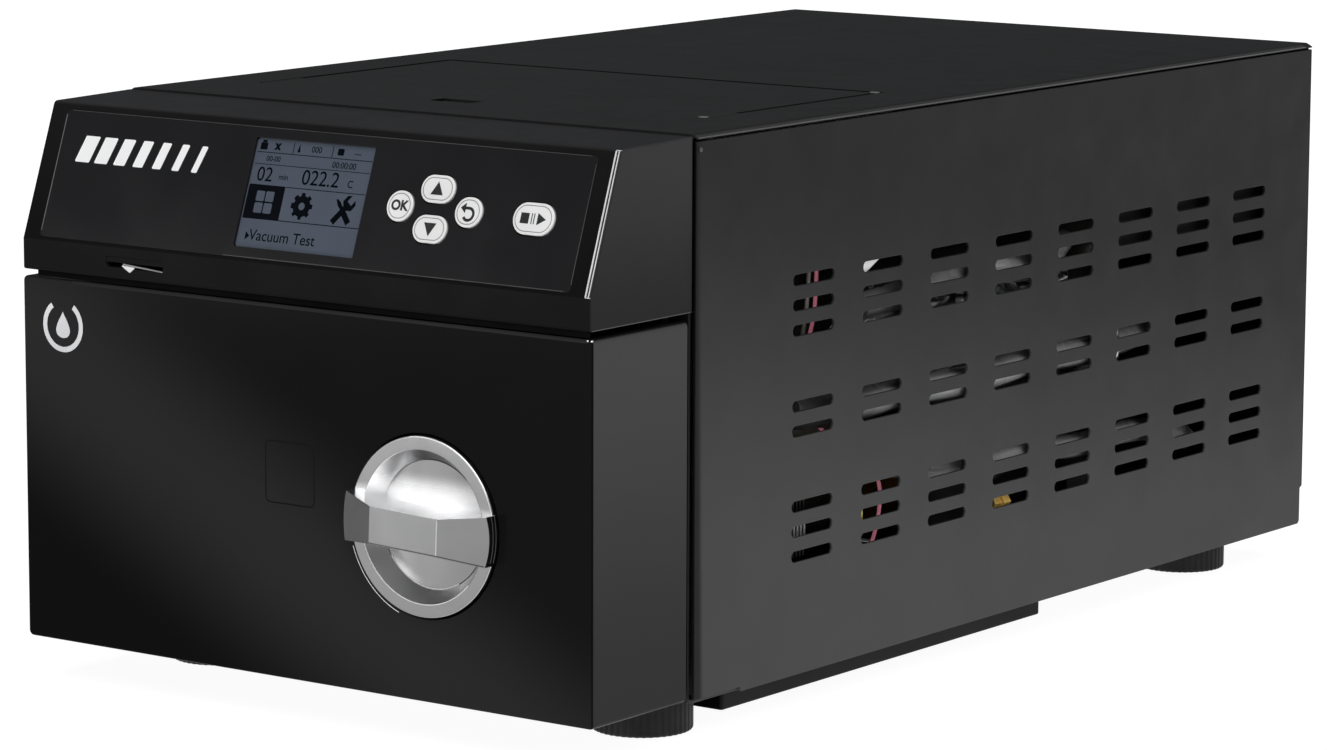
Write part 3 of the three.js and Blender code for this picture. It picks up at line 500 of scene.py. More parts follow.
def prism(axis, outline, low, high, round_low=0, round_high=0, steps=4):
    """A flat outline pushed along an axis, with either end's rim rounded."""
    bm = bmesh.new()
    rings = [[bm.verts.new(spot(axis, a, b, level)) for a, b in outline] for level in (low, high)]
    for ring in rings:
        bm.faces.new(ring)
    for i in range(len(outline)):
        bm.faces.new((rings[0][i - 1], rings[0][i], rings[1][i], rings[1][i - 1]))
    bmesh.ops.recalc_face_normals(bm, faces=bm.faces)
    for ring, radius in zip(rings, (round_low, round_high)):
        if radius:
            rim = [bm.edges.get((ring[i - 1], ring[i])) for i in range(len(ring))]
            bmesh.ops.bevel(bm, geom=rim, offset=radius, segments=steps, profile=0.5, affect="EDGES")
    return bm


def lathe(axis, profile, centre, steps=96, closed=False):
    """A turned body. Profile points are (radius, distance along the axis); a closed profile makes a ring."""
    bm = bmesh.new()
    rings = []
    for radius, along in profile:
        points = circle(*centre, radius, steps if radius > 1e-6 else 1)
        rings.append([bm.verts.new(spot(axis, *point, along)) for point in points])
    pairs = list(zip(rings, rings[1:])) + ([(rings[-1], rings[0])] if closed else [])
    for first, second in pairs:
        for i in range(steps):
            turns = ((first, i), (first, i + 1), (second, i + 1), (second, i))
            unique = list(dict.fromkeys(ring[k % len(ring)] for ring, k in turns))
            if len(unique) > 2:
                bm.faces.new(unique)
    bmesh.ops.recalc_face_normals(bm, faces=bm.faces)
    return bm


def ring_plate(outer, inner, low, high):
    """A flat frame between two outlines that have the same number of points."""
    bm = bmesh.new()
    loops = [[bm.verts.new((a, b, level)) for a, b in outline]
             for level in (low, high) for outline in (outer, inner)]
    for first, second in ((0, 1), (1, 3), (3, 2), (2, 0)):
        for i in range(len(outer)):
            bm.faces.new((loops[first][i - 1], loops[first][i], loops[second][i], loops[second][i - 1]))
    bmesh.ops.recalc_face_normals(bm, faces=bm.faces)
    return bm


def merged(*parts):
    """Several bmeshes as one, each part keeping its own shell."""
    whole = bmesh.new()
    for part in parts:
        mesh = bpy.data.meshes.new("part")
        part.to_mesh(mesh)
        part.free()
        whole.from_mesh(mesh)
        bpy.data.meshes.remove(mesh)
    return whole


def prisms(axis, outlines, low, high, *rounding):
    """Several outlines pushed along one axis, as one bmesh."""
    return merged(*(prism(axis, outline, low, high, *rounding) for outline in outlines))


def as_object(bm, name="loose"):
    mesh = bpy.data.meshes.new(name)
    bm.to_mesh(mesh)
    bm.free()
    made = bpy.data.objects.new(name, mesh)
    bpy.context.scene.collection.objects.link(made)
    return made


def evaluated(loose):
    mesh = bpy.data.meshes.new_from_object(loose.evaluated_get(bpy.context.evaluated_depsgraph_get()))
    bm = bmesh.new()
    bm.from_mesh(mesh)
    bpy.data.meshes.remove(mesh)
    return bm


def combine(base, tools, operation="DIFFERENCE"):
    """The base after one exact boolean with each tool."""
    body = as_object(base)
    helpers = [as_object(tool) for tool in tools]
    for helper in helpers:
        modifier = body.modifiers.new("boolean", "BOOLEAN")
        modifier.operation, modifier.solver, modifier.object = operation, "EXACT", helper
    result = evaluated(body)
    for spent in (body, *helpers):
        bpy.data.objects.remove(spent)
    return result


def soften(bm, width, steps=2, angle=35):
    """Rounds every edge that is sharper than the angle."""
    bmesh.ops.remove_doubles(bm, verts=bm.verts, dist=0.002)
    bmesh.ops.dissolve_limit(bm, angle_limit=math.radians(0.5), verts=bm.verts, edges=bm.edges)
    sharp = [edge for edge in bm.edges if len(edge.link_faces) == 2
             and edge.calc_face_angle(0) > math.radians(angle)]
    bmesh.ops.bevel(bm, geom=sharp, offset=width, segments=steps, profile=0.5, affect="EDGES",
                    clamp_overlap=True)
    return bm


def drawn(curve, weld):
    """The mesh of a curve or text, which is then removed."""
    holder = bpy.data.objects.new(curve.name, curve)
    bpy.context.scene.collection.objects.link(holder)
    bm = evaluated(holder)
    bpy.data.objects.remove(holder)
    bpy.data.curves.remove(curve)
    bmesh.ops.remove_doubles(bm, verts=bm.verts, dist=weld)
    return bm


def text(words, size, x, y, low, high, bold=0):
    """Generic figures or words as a raised shape, centred on a point of the drawing plane."""
    curve = bpy.data.curves.new("text", "FONT")
    curve.body, curve.size, curve.align_x, curve.align_y = words, size, "CENTER", "CENTER"
    curve.extrude, curve.offset = (high - low) / 2, bold
    return moved(drawn(curve, 1e-5), Matrix.Translation((x, y, (low + high) / 2)))


def hose(points, radius):
    """A smooth tube through a few points."""
    curve = bpy.data.curves.new("hose", "CURVE")
    curve.dimensions, curve.bevel_depth, curve.bevel_resolution = "3D", radius, 3
    curve.resolution_u, curve.use_fill_caps = 12, True
    spline = curve.splines.new("NURBS")
    spline.points.add(len(points) - 1)
    for knot, point in zip(spline.points, points):
        knot.co = (*point, 1)
    spline.use_endpoint_u, spline.order_u = True, 4
    return drawn(curve, 1e-4)


def moved(bm, matrix):
    bmesh.ops.transform(bm, matrix=matrix, verts=bm.verts)
    return bm


def piece(name, bm, material, slot=None, body="housing", replaces=()):
    """Finishes a bmesh as one piece that rides on a body; the slot, which falls back to the material, is not
    used.
    """
    slot = slot or material
    made = as_object(moved(bm, HOME), name)
    made.data.materials.append(MATERIALS[material])
    made.data.shade_smooth()
    made.data.set_sharp_from_angle(angle=math.radians(50))
    weighted = made.modifiers.new("flat_faces", "WEIGHTED_NORMAL")
    weighted.mode, weighted.weight, weighted.keep_sharp = "FACE_AREA", 90, True
    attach(made, body)
    if replaces:
        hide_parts(*replaces)


def fine(node, bm, material, slot=None, body="housing"):
    """Finishes a bmesh as the piece that takes a CAD node's place."""
    piece(f"{node}_fine", bm, material, slot, body, [node])


# ---- housing
def side_panel(side):
    step, step_rise, corner, tuck, tuck_top = 30, 1.8, 2, 1.8, SIDE_LOW + 16
    outline = fillet([(0, SIDE_LOW + step_rise), (step, SIDE_LOW + step_rise), (step + 0.6, SIDE_LOW),
                      (DEPTH - tuck, SIDE_LOW), (DEPTH - tuck, tuck_top), (DEPTH, tuck_top + 1),
                      (DEPTH, SIDE_TOP), (0, SIDE_TOP)], (0.6, 0, 0, corner, 0, 0, 0.6, 0.6))
    inner = HALF - SHEET
    slots = [stadium(VENT_FIRST + column * VENT_PITCH, VENT_TOP - row * VENT_ROW_PITCH, *VENT_SIZE)
             for column in range(VENT_COLUMNS) for row in VENT_ROWS]
    sheet = combine(prism("x", outline, inner, HALF), [prisms("x", slots, inner - 2, HALF + 2)])
    soften(sheet, 0.3)
    if side == "left":
        moved(sheet, Matrix.Scale(-1, 4, (1, 0, 0)))
        bmesh.ops.reverse_faces(sheet, faces=sheet.faces)
    fine(f"{side}_side_panel", sheet, "panel_coat", "powder_coat")


def top_cover():
    """The folded sheet with the lid's opening, its side folds, which carry painted light, and what fills its
    open rear corners.
    """
    low, front = place("top_cover")[0].z + 0.7, place("top_cover")[0].y
    slope_in, drop, skin, rim = 2.9, 1.5, 1.5, 1.6
    half = [(HALF, low), (HALF, TOP - drop), (HALF - slope_in, TOP)]
    inner = [(HALF - rim, TOP - skin), (HALF - rim, low)]
    outline = fillet([*half, *[(-x, z) for x, z in reversed(half)], *[(-x, z) for x, z in reversed(inner)],
                      *inner], (0.2, 0.8, 0.9, 0.9, 0.8, 0.2, 0, 0, 0, 0), 4)
    corner = prism("z", rect(-HALF, HALF, front - 40, DEPTH, (0, 0, 6, 6), 8), low - 3, TOP + 3)
    sheet = combine(prism("y", outline, front, DEPTH), [corner], "INTERSECT")
    lid_low, lid_high = place("reservoir_lid")
    gap = 0.6
    mouth = rect(-LID_HALF - gap, LID_HALF + gap, LID_FRONT - gap, lid_high.y + gap, 1.4)
    pull = rect(*PULL_SPAN, lid_low.y - 0.5, LID_FRONT + 4, (1.5, 1.5, 0, 0))
    sheet = combine(sheet, [prism("z", outline, low - 5, TOP + 5) for outline in (mouth, pull)])
    fine("top_cover", soften(sheet, 0.25), "powder_coat")
    # Painted light on the side folds: a skin in a lighter grey over the bend, and a thin light line as a
    # painted highlight along their lower edges.
    bend_x, bend_z = HALF - 0.6 * slope_in, TOP - 0.4 * drop
    fold = [(HALF + 0.04, low), (HALF + 0.04, TOP - drop), (bend_x, bend_z + 0.05), (bend_x, bend_z - 0.6),
            (HALF - 0.6, TOP - drop - 0.4), (HALF - 0.6, low)]
    painted_edge_line = rect(HALF - 0.5, HALF + 0.07, low, low + 0.5)
    for name, outline, material in (("skin", fold, "painted_fold_light"), ("painted_edge_line", painted_edge_line, "edge_dim")):
        sides = prisms("y", mirrored(outline), front + 1, DEPTH - 6)
        piece(f"top_cover_{name}", sides, material, "powder_coat")
    corners = mirrored(rect(HALF - 4, HALF - 1.3, DEPTH - 9, DEPTH - 0.8))
    seals = prisms("z", corners, SIDE_TOP - 1, low - 0.02)
    piece("top_cover_corner_seals", seals, "seal_and_shade_black", "powder_coat")


def reservoir_lid():
    low, high = place("reservoir_lid")
    leaf = prism("z", rect(-LID_HALF, LID_HALF, LID_FRONT, high.y, 1.2), low.z, TOP, 0.3, 0.35)
    pull = rect(PULL_SPAN[0] + 0.5, PULL_SPAN[1] - 0.5, low.y, LID_FRONT + 2, (1.2, 1.2, 0, 0))
    ridges = prisms("z", [rect(x - 1, x + 1, low.y + 2, low.y + 6, 0.6) for x in range(-10, 4, 4)],
                    TOP - 1.4, TOP - 0.6, 0, 0.2)
    lid = merged(leaf, prism("z", pull, low.z, TOP - 1.2, 0.2, 0.3), ridges)
    fine("reservoir_lid", lid, "powder_coat", body="reservoir_lid")
    # Painted shade: a thin near-black frame along the lid's sides and rear edge, as shade in its seam.
    edge, rear = LID_HALF - 0.35, high.y - 0.35
    sides = mirrored(rect(edge - 2, edge, LID_FRONT + 25, rear - 2.3))
    rim = prisms("z", [rect(-edge, edge, rear - 2.2, rear), *sides], TOP - 0.1, TOP + 0.03)
    piece("reservoir_lid_seam_shade", rim, "seal_and_shade_black", "powder_coat", "reservoir_lid")


def feet():
    ribs, groove = 44, 0.5
    for node in (f"foot_{end}_{side}" for end in ("front", "rear") for side in ("left", "right")):
        low, high = place(node)
        middle, radius = (low + high) / 2, (high.x - low.x) / 2
        reaches = [radius - groove * max(0, math.sin(math.pi * i / 3)) ** 2 for i in range(6 * ribs)]
        foot = prism("z", around(middle.x, middle.y, reaches), low.z, high.z - 0.2, 1.2, 0.6)
        fine(node, foot, "rubber")


def bottom_pan():
    low, high = place("bottom_pan")
    pan = prism("z", rect(low.x, high.x, low.y, high.y, 1.5), low.z, high.z, 0.8)
    hollow = prism("z", rect(low.x + 1.5, high.x - 1.5, low.y + 1.5, high.y - 1.5), low.z + 1.5, high.z + 5)
    fine("bottom_pan", soften(combine(pan, [hollow]), 0.2), "moulded_black")


def small_fixings():
    """Screws and clips on the casing; the clips' light grey also paints small light marks on the lid."""
    for name, x, y in (("lid_clip_front", 107.5, 49.5), ("lid_clip_rear", 107.8, 165.2)):
        clip = prism("z", rect(x - 2, x + 2, y - 1.6, y + 1.6, 1.2, 4), TOP + 0.03, TOP + 0.35, 0, 0.2)
        pin = prism("z", circle(x - 1, y, 0.8, 16), TOP - 0.3, TOP + 0.1)
        piece(name, merged(clip, pin), "painted_light_grey", "powder_coat", "reservoir_lid")
    for name, side in (("left", -1), ("right", 1)):
        base, crown, peak = (side * (HALF + rise) for rise in (-0.3, 0.3, 0.5))
        head = lathe("x", [(0, base), (1, base), (1, crown), (0.7, peak), (0, peak)], (2.6, SIDE_TOP - 3), 20)
        piece(f"front_screw_{name}", head, "edge_dim", "powder_coat")
    rear = place("rear_panel")[1].y
    for x in (-128, 0, 128):
        for z in (30, SIDE_TOP - 14):
            profile = [(0, rear), (3.2, rear), (3.2, rear + 0.9), (2.2, rear + 1.7), (0, rear + 1.7)]
            cross = [prism("y", rect(x - w, x + w, z - h, z + h), rear + 1.1, rear + 3)
                     for w, h in ((2, 0.35), (0.35, 2))]
            screw = combine(lathe("y", profile, (x, z), 24), cross)
            piece(f"rear_screw_{x + 128}_{int(z)}", screw, "steel")


# ---- control fascia
LIP_TOP, CREST_Y, CREST_Z = 176.1, -44.4, 228.5
RISE = Vector((CREST_Y - FASCIA_LOW.y, CREST_Z - LIP_TOP))
SLOPE = Matrix.Translation((0, FASCIA_LOW.y, LIP_TOP)) @ Matrix.Rotation(math.atan2(RISE.y, RISE.x), 4, "X")
OVERLAY = (-130.5, 129.5, 1.5, 52.7)
SCREEN = (-32, 26.5, 5.7, 48.4)
FACE = 0.1
KEYS = {
    "ok": (43.8, 27.2, 12.8, 12.4),
    "up": (59.9, 34.9, 16.4, 11.2),
    "down": (59.9, 19.6, 16.4, 11.2),
    "return": (76.2, 27.3, 13.1, 12.1),
    "start": (106.4, 27.2, 19.4, 12.7),
}


def grown(span, by):
    x0, x1, y0, y1 = span
    return x0 - by, x1 + by, y0 - by, y1 + by


def openings(screen_gap, key_gap, low):
    """One tool that cuts the display's window and the key holes through the sloped face."""
    window = rect(*grown(SCREEN, screen_gap), 0 if screen_gap else 0.6)
    return prisms("z", [window, *(stadium(*key, key_gap) for key in KEYS.values())], low, 5)


def fascia_shell():
    low, high = FASCIA_LOW, FASCIA_HIGH
    wall = 2.4
    corners = [(low.y, low.z), (high.y, low.z), (high.y, high.z), (CREST_Y, CREST_Z), (low.y, LIP_TOP)]
    body = prism("x", fillet(corners, (1, 0.3, 0.3, 2, 1), 5), low.x, high.x, 0.7, 0.7, 4)
    inside = [(low.y + wall, low.z + wall), (high.y + 5, low.z + wall), (high.y + 5, high.z - wall),
              (CREST_Y + 0.7 * wall, CREST_Z - wall), (low.y + wall, LIP_TOP - 0.3 * wall)]
    hollow = prism("x", inside, low.x + wall, high.x - wall)
    sink = prism("z", rect(*grown(OVERLAY, 0.12), 2.1), -0.9, 5)
    slot_low, slot_high = PORT_SLOT
    slot = prism("y", rect(*slot_low, *slot_high, 1.2), low.y - 5, low.y + 6)
    shell = combine(body, [hollow, moved(sink, SLOPE), moved(openings(0.4, 0.5, -6), SLOPE), slot])
    fine("fascia_shell", soften(shell, 0.12), "moulded_black")
    # Painted highlight: a thin light line along the lower edge of each side.
    painted_edge_line = mirrored(rect(high.x - 0.4, high.x + 0.03, low.z + 0.2, low.z + 0.5))
    piece("fascia_painted_edge_line", prisms("y", painted_edge_line, low.y + 1, high.y - 1), "edge_dim", "moulded_black")
    # Painted shade: a near-black strip under the lip, which gives the dark gap above the door its tone.
    seal = prism("x", rect(low.y + 0.9, low.y + 1.5, DOOR_HIGH.z + 0.45, low.z + 0.3), 8 - HALF, HALF - 2)
    piece("fascia_gap_shade_strip", seal, "seal_and_shade_black", "moulded_black")


def on_slope(name, outlines, low, high, material, slot):
    """Outlines on the sloped face, raised from low to high as one piece."""
    piece(name, moved(prisms("z", outlines, low, high), SLOPE), material, slot)


def control_overlay():
    sheet = prism("z", rect(*OVERLAY, 2), -0.6, FACE)
    sheet = soften(combine(sheet, [openings(0, 0.3, -5)]), 0.06)
    fine("control_overlay", moved(sheet, SLOPE), "overlay_black", "gloss_black")
    left, right, low, high = OVERLAY
    # Painted highlights: a light line along the overlay's left edge and faint lines along its other edges.
    on_slope("overlay_bright_edge", [rect(left + 0.2, left + 0.55, low + 2.4, high - 2)], 0, FACE + 0.03,
             "painted_light_grey", "gloss_black")
    faint = [rect(SCREEN[0] - 4, right - 3, low + 0.15, low + 0.45),
             rect(left + 3, right - 3, high - 0.4, high - 0.15),
             rect(right - 0.5, right - 0.2, low + 3, high - 3)]
    on_slope("overlay_faint_edges", faint, 0, FACE + 0.03, "edge_dim", "gloss_black")
    slant, base, top = 3.4, 32.2, 42.8
    strokes = []
    for i in range(7):
        start, end = -121 + 10 * i, -113.6 + 9.25 * i
        strokes.append(fillet([(start, base), (end, base), (end + slant, top), (start + slant, top)], 0.5, 4))
    on_slope("control_mark", strokes, 0, FACE + 0.05, "print_white", "white_plastic")


def gear_icon(x, y, low, high, steps=96, teeth=8):
    reaches = [5.2 if math.cos(teeth * (2 * math.pi * i / steps)) > 0 else 4.1 for i in range(steps)]
    return ring_plate(around(x, y, reaches), circle(x, y, 1.5, steps), low, high)


def tool_icon(x, y, low, high):
    """A screwdriver crossed by a spanner."""
    driver = [(1.2, -6), (1.2, -1.4), (0.5, -0.8), (0.9, 3.4), (0.3, 5.6)]
    spanner = [(1.2, -6.2), (1.2, 1.4), (2.8, 2.6), (2.8, 5.4), (1.3, 6.8), (1.3, 3.9)]
    icons = []
    for right, angle, top in ((driver, 40, high), (spanner, -40, high + 0.01)):
        whole = right + [(-a, b) for a, b in reversed(right)]
        turn = Matrix.Translation((x, y, 0)) @ Matrix.Rotation(math.radians(angle), 4, "Z")
        icons.append(moved(prism("z", whole, low, top), turn))
    return icons


def lcd_graphics():
    """The figures and pictures on the display, drawn from its lower left corner."""
    corner = SLOPE @ Matrix.Translation((SCREEN[0], SCREEN[2], 0))
    low, high = -0.92, -0.84
    right = SCREEN[1] - SCREEN[0] - 1
    rules = ((1, 37.2, 0.25), (1, 32.6, 0.2), (18.6, 24.4, 0.25), (18, 11.3, 0.3))
    shapes = [rect(left, right, level, level + thick) for left, level, thick in rules]
    shapes += [rect(left, left + 0.25, 37.6, 42) for left in (18.2, 37.4)]
    shapes += [rect(2, 5.4, 38.3, 41, 0.3, 2), rect(2.7, 4.7, 41.1, 42), rect(40, 43, 38.6, 41.2, 0.4, 2)]
    shapes += [[(20.4, 38.4), (21.8, 38.4), (21.1, 41.6)], [(4, 3), (6, 4.6), (4, 6.2)]]
    words = (("000", 3.4, 29.7, 39.8), ("---", 3.4, 49.8, 39.8), ("00-00", 3, 9.6, 34.9),
             ("00:00:00", 3.4, 44.4, 34.7), ("02", 7.9, 7.1, 28.5), ("min", 3.2, 16.4, 28.2),
             ("022.2", 8.3, 34.5, 28.7), ("C", 4, 49.2, 27.8), ("Vacuum Test", 6.1, 22, 4.9))
    ink = [text(word, size, x, y, low, high) for word, size, x, y in words]
    ink += [prisms("z", shapes, low, high), text("x", 5, 10.5, 40.2, low, high, 0.2)]
    ink.append(prism("z", rect(0.6, 18.4, 11.3, 24.7, 0.4, 2), low, high - 0.04))
    ink += [gear_icon(28.2, 17.8, low, high), *tool_icon(48.2, 17.6, low, high)]
    piece("lcd_graphics", moved(merged(*ink), corner), "screen_ink", "screen")
    panes = [rect(x, x + 4, y, y + 4, 0.5, 3) for x in (5.2, 9.8) for y in (13.7, 18.3)]
    piece("lcd_window_icon", moved(prisms("z", panes, low, high), corner), "screen")


def lcd_module():
    glass = prism("z", rect(*SCREEN, 1.4), -4, -0.9, 0, 0.1)
    tray = prism("z", rect(*grown(SCREEN, 3), 1), -8, -3.9)
    fine("lcd_module", moved(merged(glass, tray), SLOPE), "screen")


def key_symbol(name, x, s, low, high):
    if name == "ok":
        return text("OK", 5.3, x, s, low, high, 0.2)
    way = -1 if name == "down" else 1
    triangle = [(x - 2.9, s - 2.3 * way), (x + 2.9, s - 2.3 * way), (x, s + 2.8 * way)]
    hook = arc_band(x + 0.3, s - 0.8, 2.3, 1.1, -150, 90)
    stem = rect(x - 1.6, x + 0.3, s + 0.95, s + 2.05)
    head = [(x - 3.7, s + 1.5), (x - 1.4, s - 0.5), (x - 1.4, s + 3.5)]
    square = rect(x - 5.8, x - 2, s - 2, s + 2)
    bars = [rect(x + dx, x + dx + 0.4, s - 2, s + 2) for dx in (-0.9, 0.2)]
    arrow = [(x + 1.9, s - 2.3), (x + 5.8, s), (x + 1.9, s + 2.3)]
    drawings = {"up": [triangle], "down": [triangle], "return": [hook, stem, head],
                "start": [square, *bars, arrow]}
    return prisms("z", drawings[name], low, high)


def keys():
    top = 0.55
    for name, (x, s, width, height) in KEYS.items():
        body = f"button_{name}"
        cap = prism("z", stadium(x, s, width, height, -0.3, 14), -4.9, top, 0.2, 0.4, 5)
        piece(f"key_{name}", moved(cap, SLOPE), "white_plastic", body=body, replaces=[body])
        outer, inner = (stadium(x, s, width, height, -inset) for inset in (1.3, 1.62))
        ring = ring_plate(outer, inner, top - 0.05, top + 0.02)
        piece(f"key_ring_{name}", moved(ring, SLOPE), "print_grey", "gloss_black", body)
        mark = key_symbol(name, x, s, top - 0.05, top + 0.05)
        piece(f"key_mark_{name}", moved(mark, SLOPE), "print_black", "gloss_black", body)


def trim_strip():
    low, high, (left, right), end = 0.05, 0.6, TRIM_SPAN, RISE.length - 0.6
    # The two bars are light, barely metallic lines: painted highlights along the trim strip's edges.
    spans = (left + 0.1, left + 0.75), (right - 0.75, right - 0.35)
    bars = [rect(*span, 0.3, end, 0.25, 3) for span in spans]
    fine("trim_strip", moved(prisms("z", bars, low, high, 0, 0.2), SLOPE), "painted_glint_white", "chrome")
    on_slope("trim_strip_carrier", [rect(left, right, 0.3, end)], low, 0.25, "print_black", "moulded_black")


def lip_port():
    (left, right), (bottom, top) = PORT_SLOT
    front = FASCIA_LOW.y
    body = prism("y", rect(left - 1, right + 2, bottom - 1.2, top + 1.2, 0.6), front + 2.8, front + 18)
    mouth = prism("y", rect(left + 1, right - 1, bottom + 0.3, top - 0.3), front, front + 14)
    fine("lip_port", soften(combine(body, [mouth]), 0.15), "moulded_black")
    plate = prism("y", rect(left + 0.2, right - 0.2, bottom + 2, top - 0.15), front + 0.3, front + 2.9)
    piece("lip_port_plate", plate, "moulded_black")
    catch = [(left + 7.5, bottom + 1.2), (left + 15.5, bottom + 0.7), (left + 12.5, bottom - 1.6)]
    flap = prism("y", fillet(catch, 0.3, 3), front - 0.12, front + 1.2, 0.1, 0.1)
    piece("lip_port_flap", flap, "silver_print_and_glint", "stainless")
    edge = [(left + 9, bottom + 1.2), (right - 0.2, bottom - 0.1), (right - 0.2, bottom + 0.2),
            (left + 9, bottom + 1.75)]
    piece("lip_port_edge", prism("y", edge, front - 0.05, front + 1), "print_grey", "stainless")


# ---- door
def door_shell():
    low, high, wall = DOOR_LOW, DOOR_HIGH, 2.5
    block = prism("y", rect(low.x, high.x, low.z, high.z, 2.2, 6), low.y, high.y, 1, 0.3, 5)
    inside = rect(low.x + wall, high.x - wall, low.z + wall, high.z - wall, 1)
    dish = prism("y", circle(KNOB_X, KNOB_Z, KNOB_RADIUS + 0.8, 128), low.y - 5, low.y + 10)
    notches = prisms("x", [rect(-21, 0, z - 3.6, z + 3.6) for z in (43, 135)], low.x - 5, low.x + 5)
    shell = combine(block, [prism("y", inside, low.y + wall, high.y + 5), merged(dish, notches)])
    fine("door_shell", soften(shell, 0.35), "gloss_black", body="door")


def droplet(x, z, width, height, steps=40):
    """A water drop: a round bottom that narrows to a point at the top."""
    points = []
    for i in range(steps):
        t = 2 * math.pi * i / steps
        reach = 0.651 * width * math.sin(t) * math.sin(t / 2) ** 1.6
        points.append((x + reach, z + height / 2 * math.cos(t)))
    return points


def on_door(name, outlines, low, high, material, slot):
    """Outlines on the door's face, from low to high behind it, as one piece."""
    piece(name, prisms("y", outlines, DOOR_LOW.y + low, DOOR_LOW.y + high), material, slot, "door")


def door_marks():
    """The emblem, the faint square, and painted highlights: a glint by the handle's hole, two glints at the
    top right corner and a dim line along the door's top edge.
    """
    face, edge, corner = DOOR_LOW.y, DOOR_HIGH.z, DOOR_HIGH.x
    ring = arc_band(EMBLEM_X, EMBLEM_Z, 9.4, 2.1, 125, 415, 48)
    drop = droplet(EMBLEM_X, EMBLEM_Z + 0.4, 8, 10.5)
    on_door("door_emblem", [drop, ring], -0.12, 0.1, "silver_print_and_glint", "satin_silver")
    square = ring_plate(rect(-16, 8.4, 84.8, 109, 2.5), rect(-15.5, 7.9, 85.3, 108.5, 2), 0, 0.12)
    stand = Matrix.Translation((0, face + 0.08, 0)) @ Matrix.Rotation(math.pi / 2, 4, "X")
    piece("door_square", moved(square, stand), "moulded_black", body="door")
    # Painted highlight: a glint arc beside the handle's hole, lower left.
    glint = arc_band(KNOB_X, KNOB_Z, KNOB_RADIUS + 1.9, 0.26, 198, 250, 40)
    on_door("door_hole_glint", [glint], -0.05, 0.4, "painted_glint_white", "gloss_black")
    # Painted highlights: two glints at the door's top right corner.
    specks = [circle(x, edge - 0.6, 0.33, 12) for x in (corner - 2.7, corner - 0.9)]
    on_door("door_corner_glints", specks, -0.1, 0.5, "painted_glint_white", "gloss_black")
    # Painted highlight: a dim line along the door's top edge, over its rounding.
    painted_edge_line = prism("x", [(face - 0.02, edge - 1.55), (face - 0.02, edge - 0.6), (face + 0.35, edge - 0.15),
                      (face + 0.8, edge - 0.15), (face + 0.8, edge - 1.55)], DOOR_LOW.x + 26, corner - 3)
    piece("door_top_painted_edge_line", painted_edge_line, "dim_black", "gloss_black", "door")


def grip_loft(stations):
    """A bar along x from a rectangle at each station, given as x, back, front, bottom and top."""
    bm = bmesh.new()
    rings = [[bm.verts.new((x, y, z)) for y, z in ((back, low), (front, low), (front, high), (back, high))]
             for x, back, front, low, high in stations]
    for first, second in zip(rings, rings[1:]):
        for i in range(4):
            bm.faces.new((first[i - 1], first[i], second[i], second[i - 1]))
    bm.faces.new(rings[0])
    bm.faces.new(rings[-1])
    bmesh.ops.recalc_face_normals(bm, faces=bm.faces)
    return bm


def on_handle(name, bm, material, replaces=()):
    piece(f"handle_{name}", bm, material, "satin_silver", "handle", replaces)


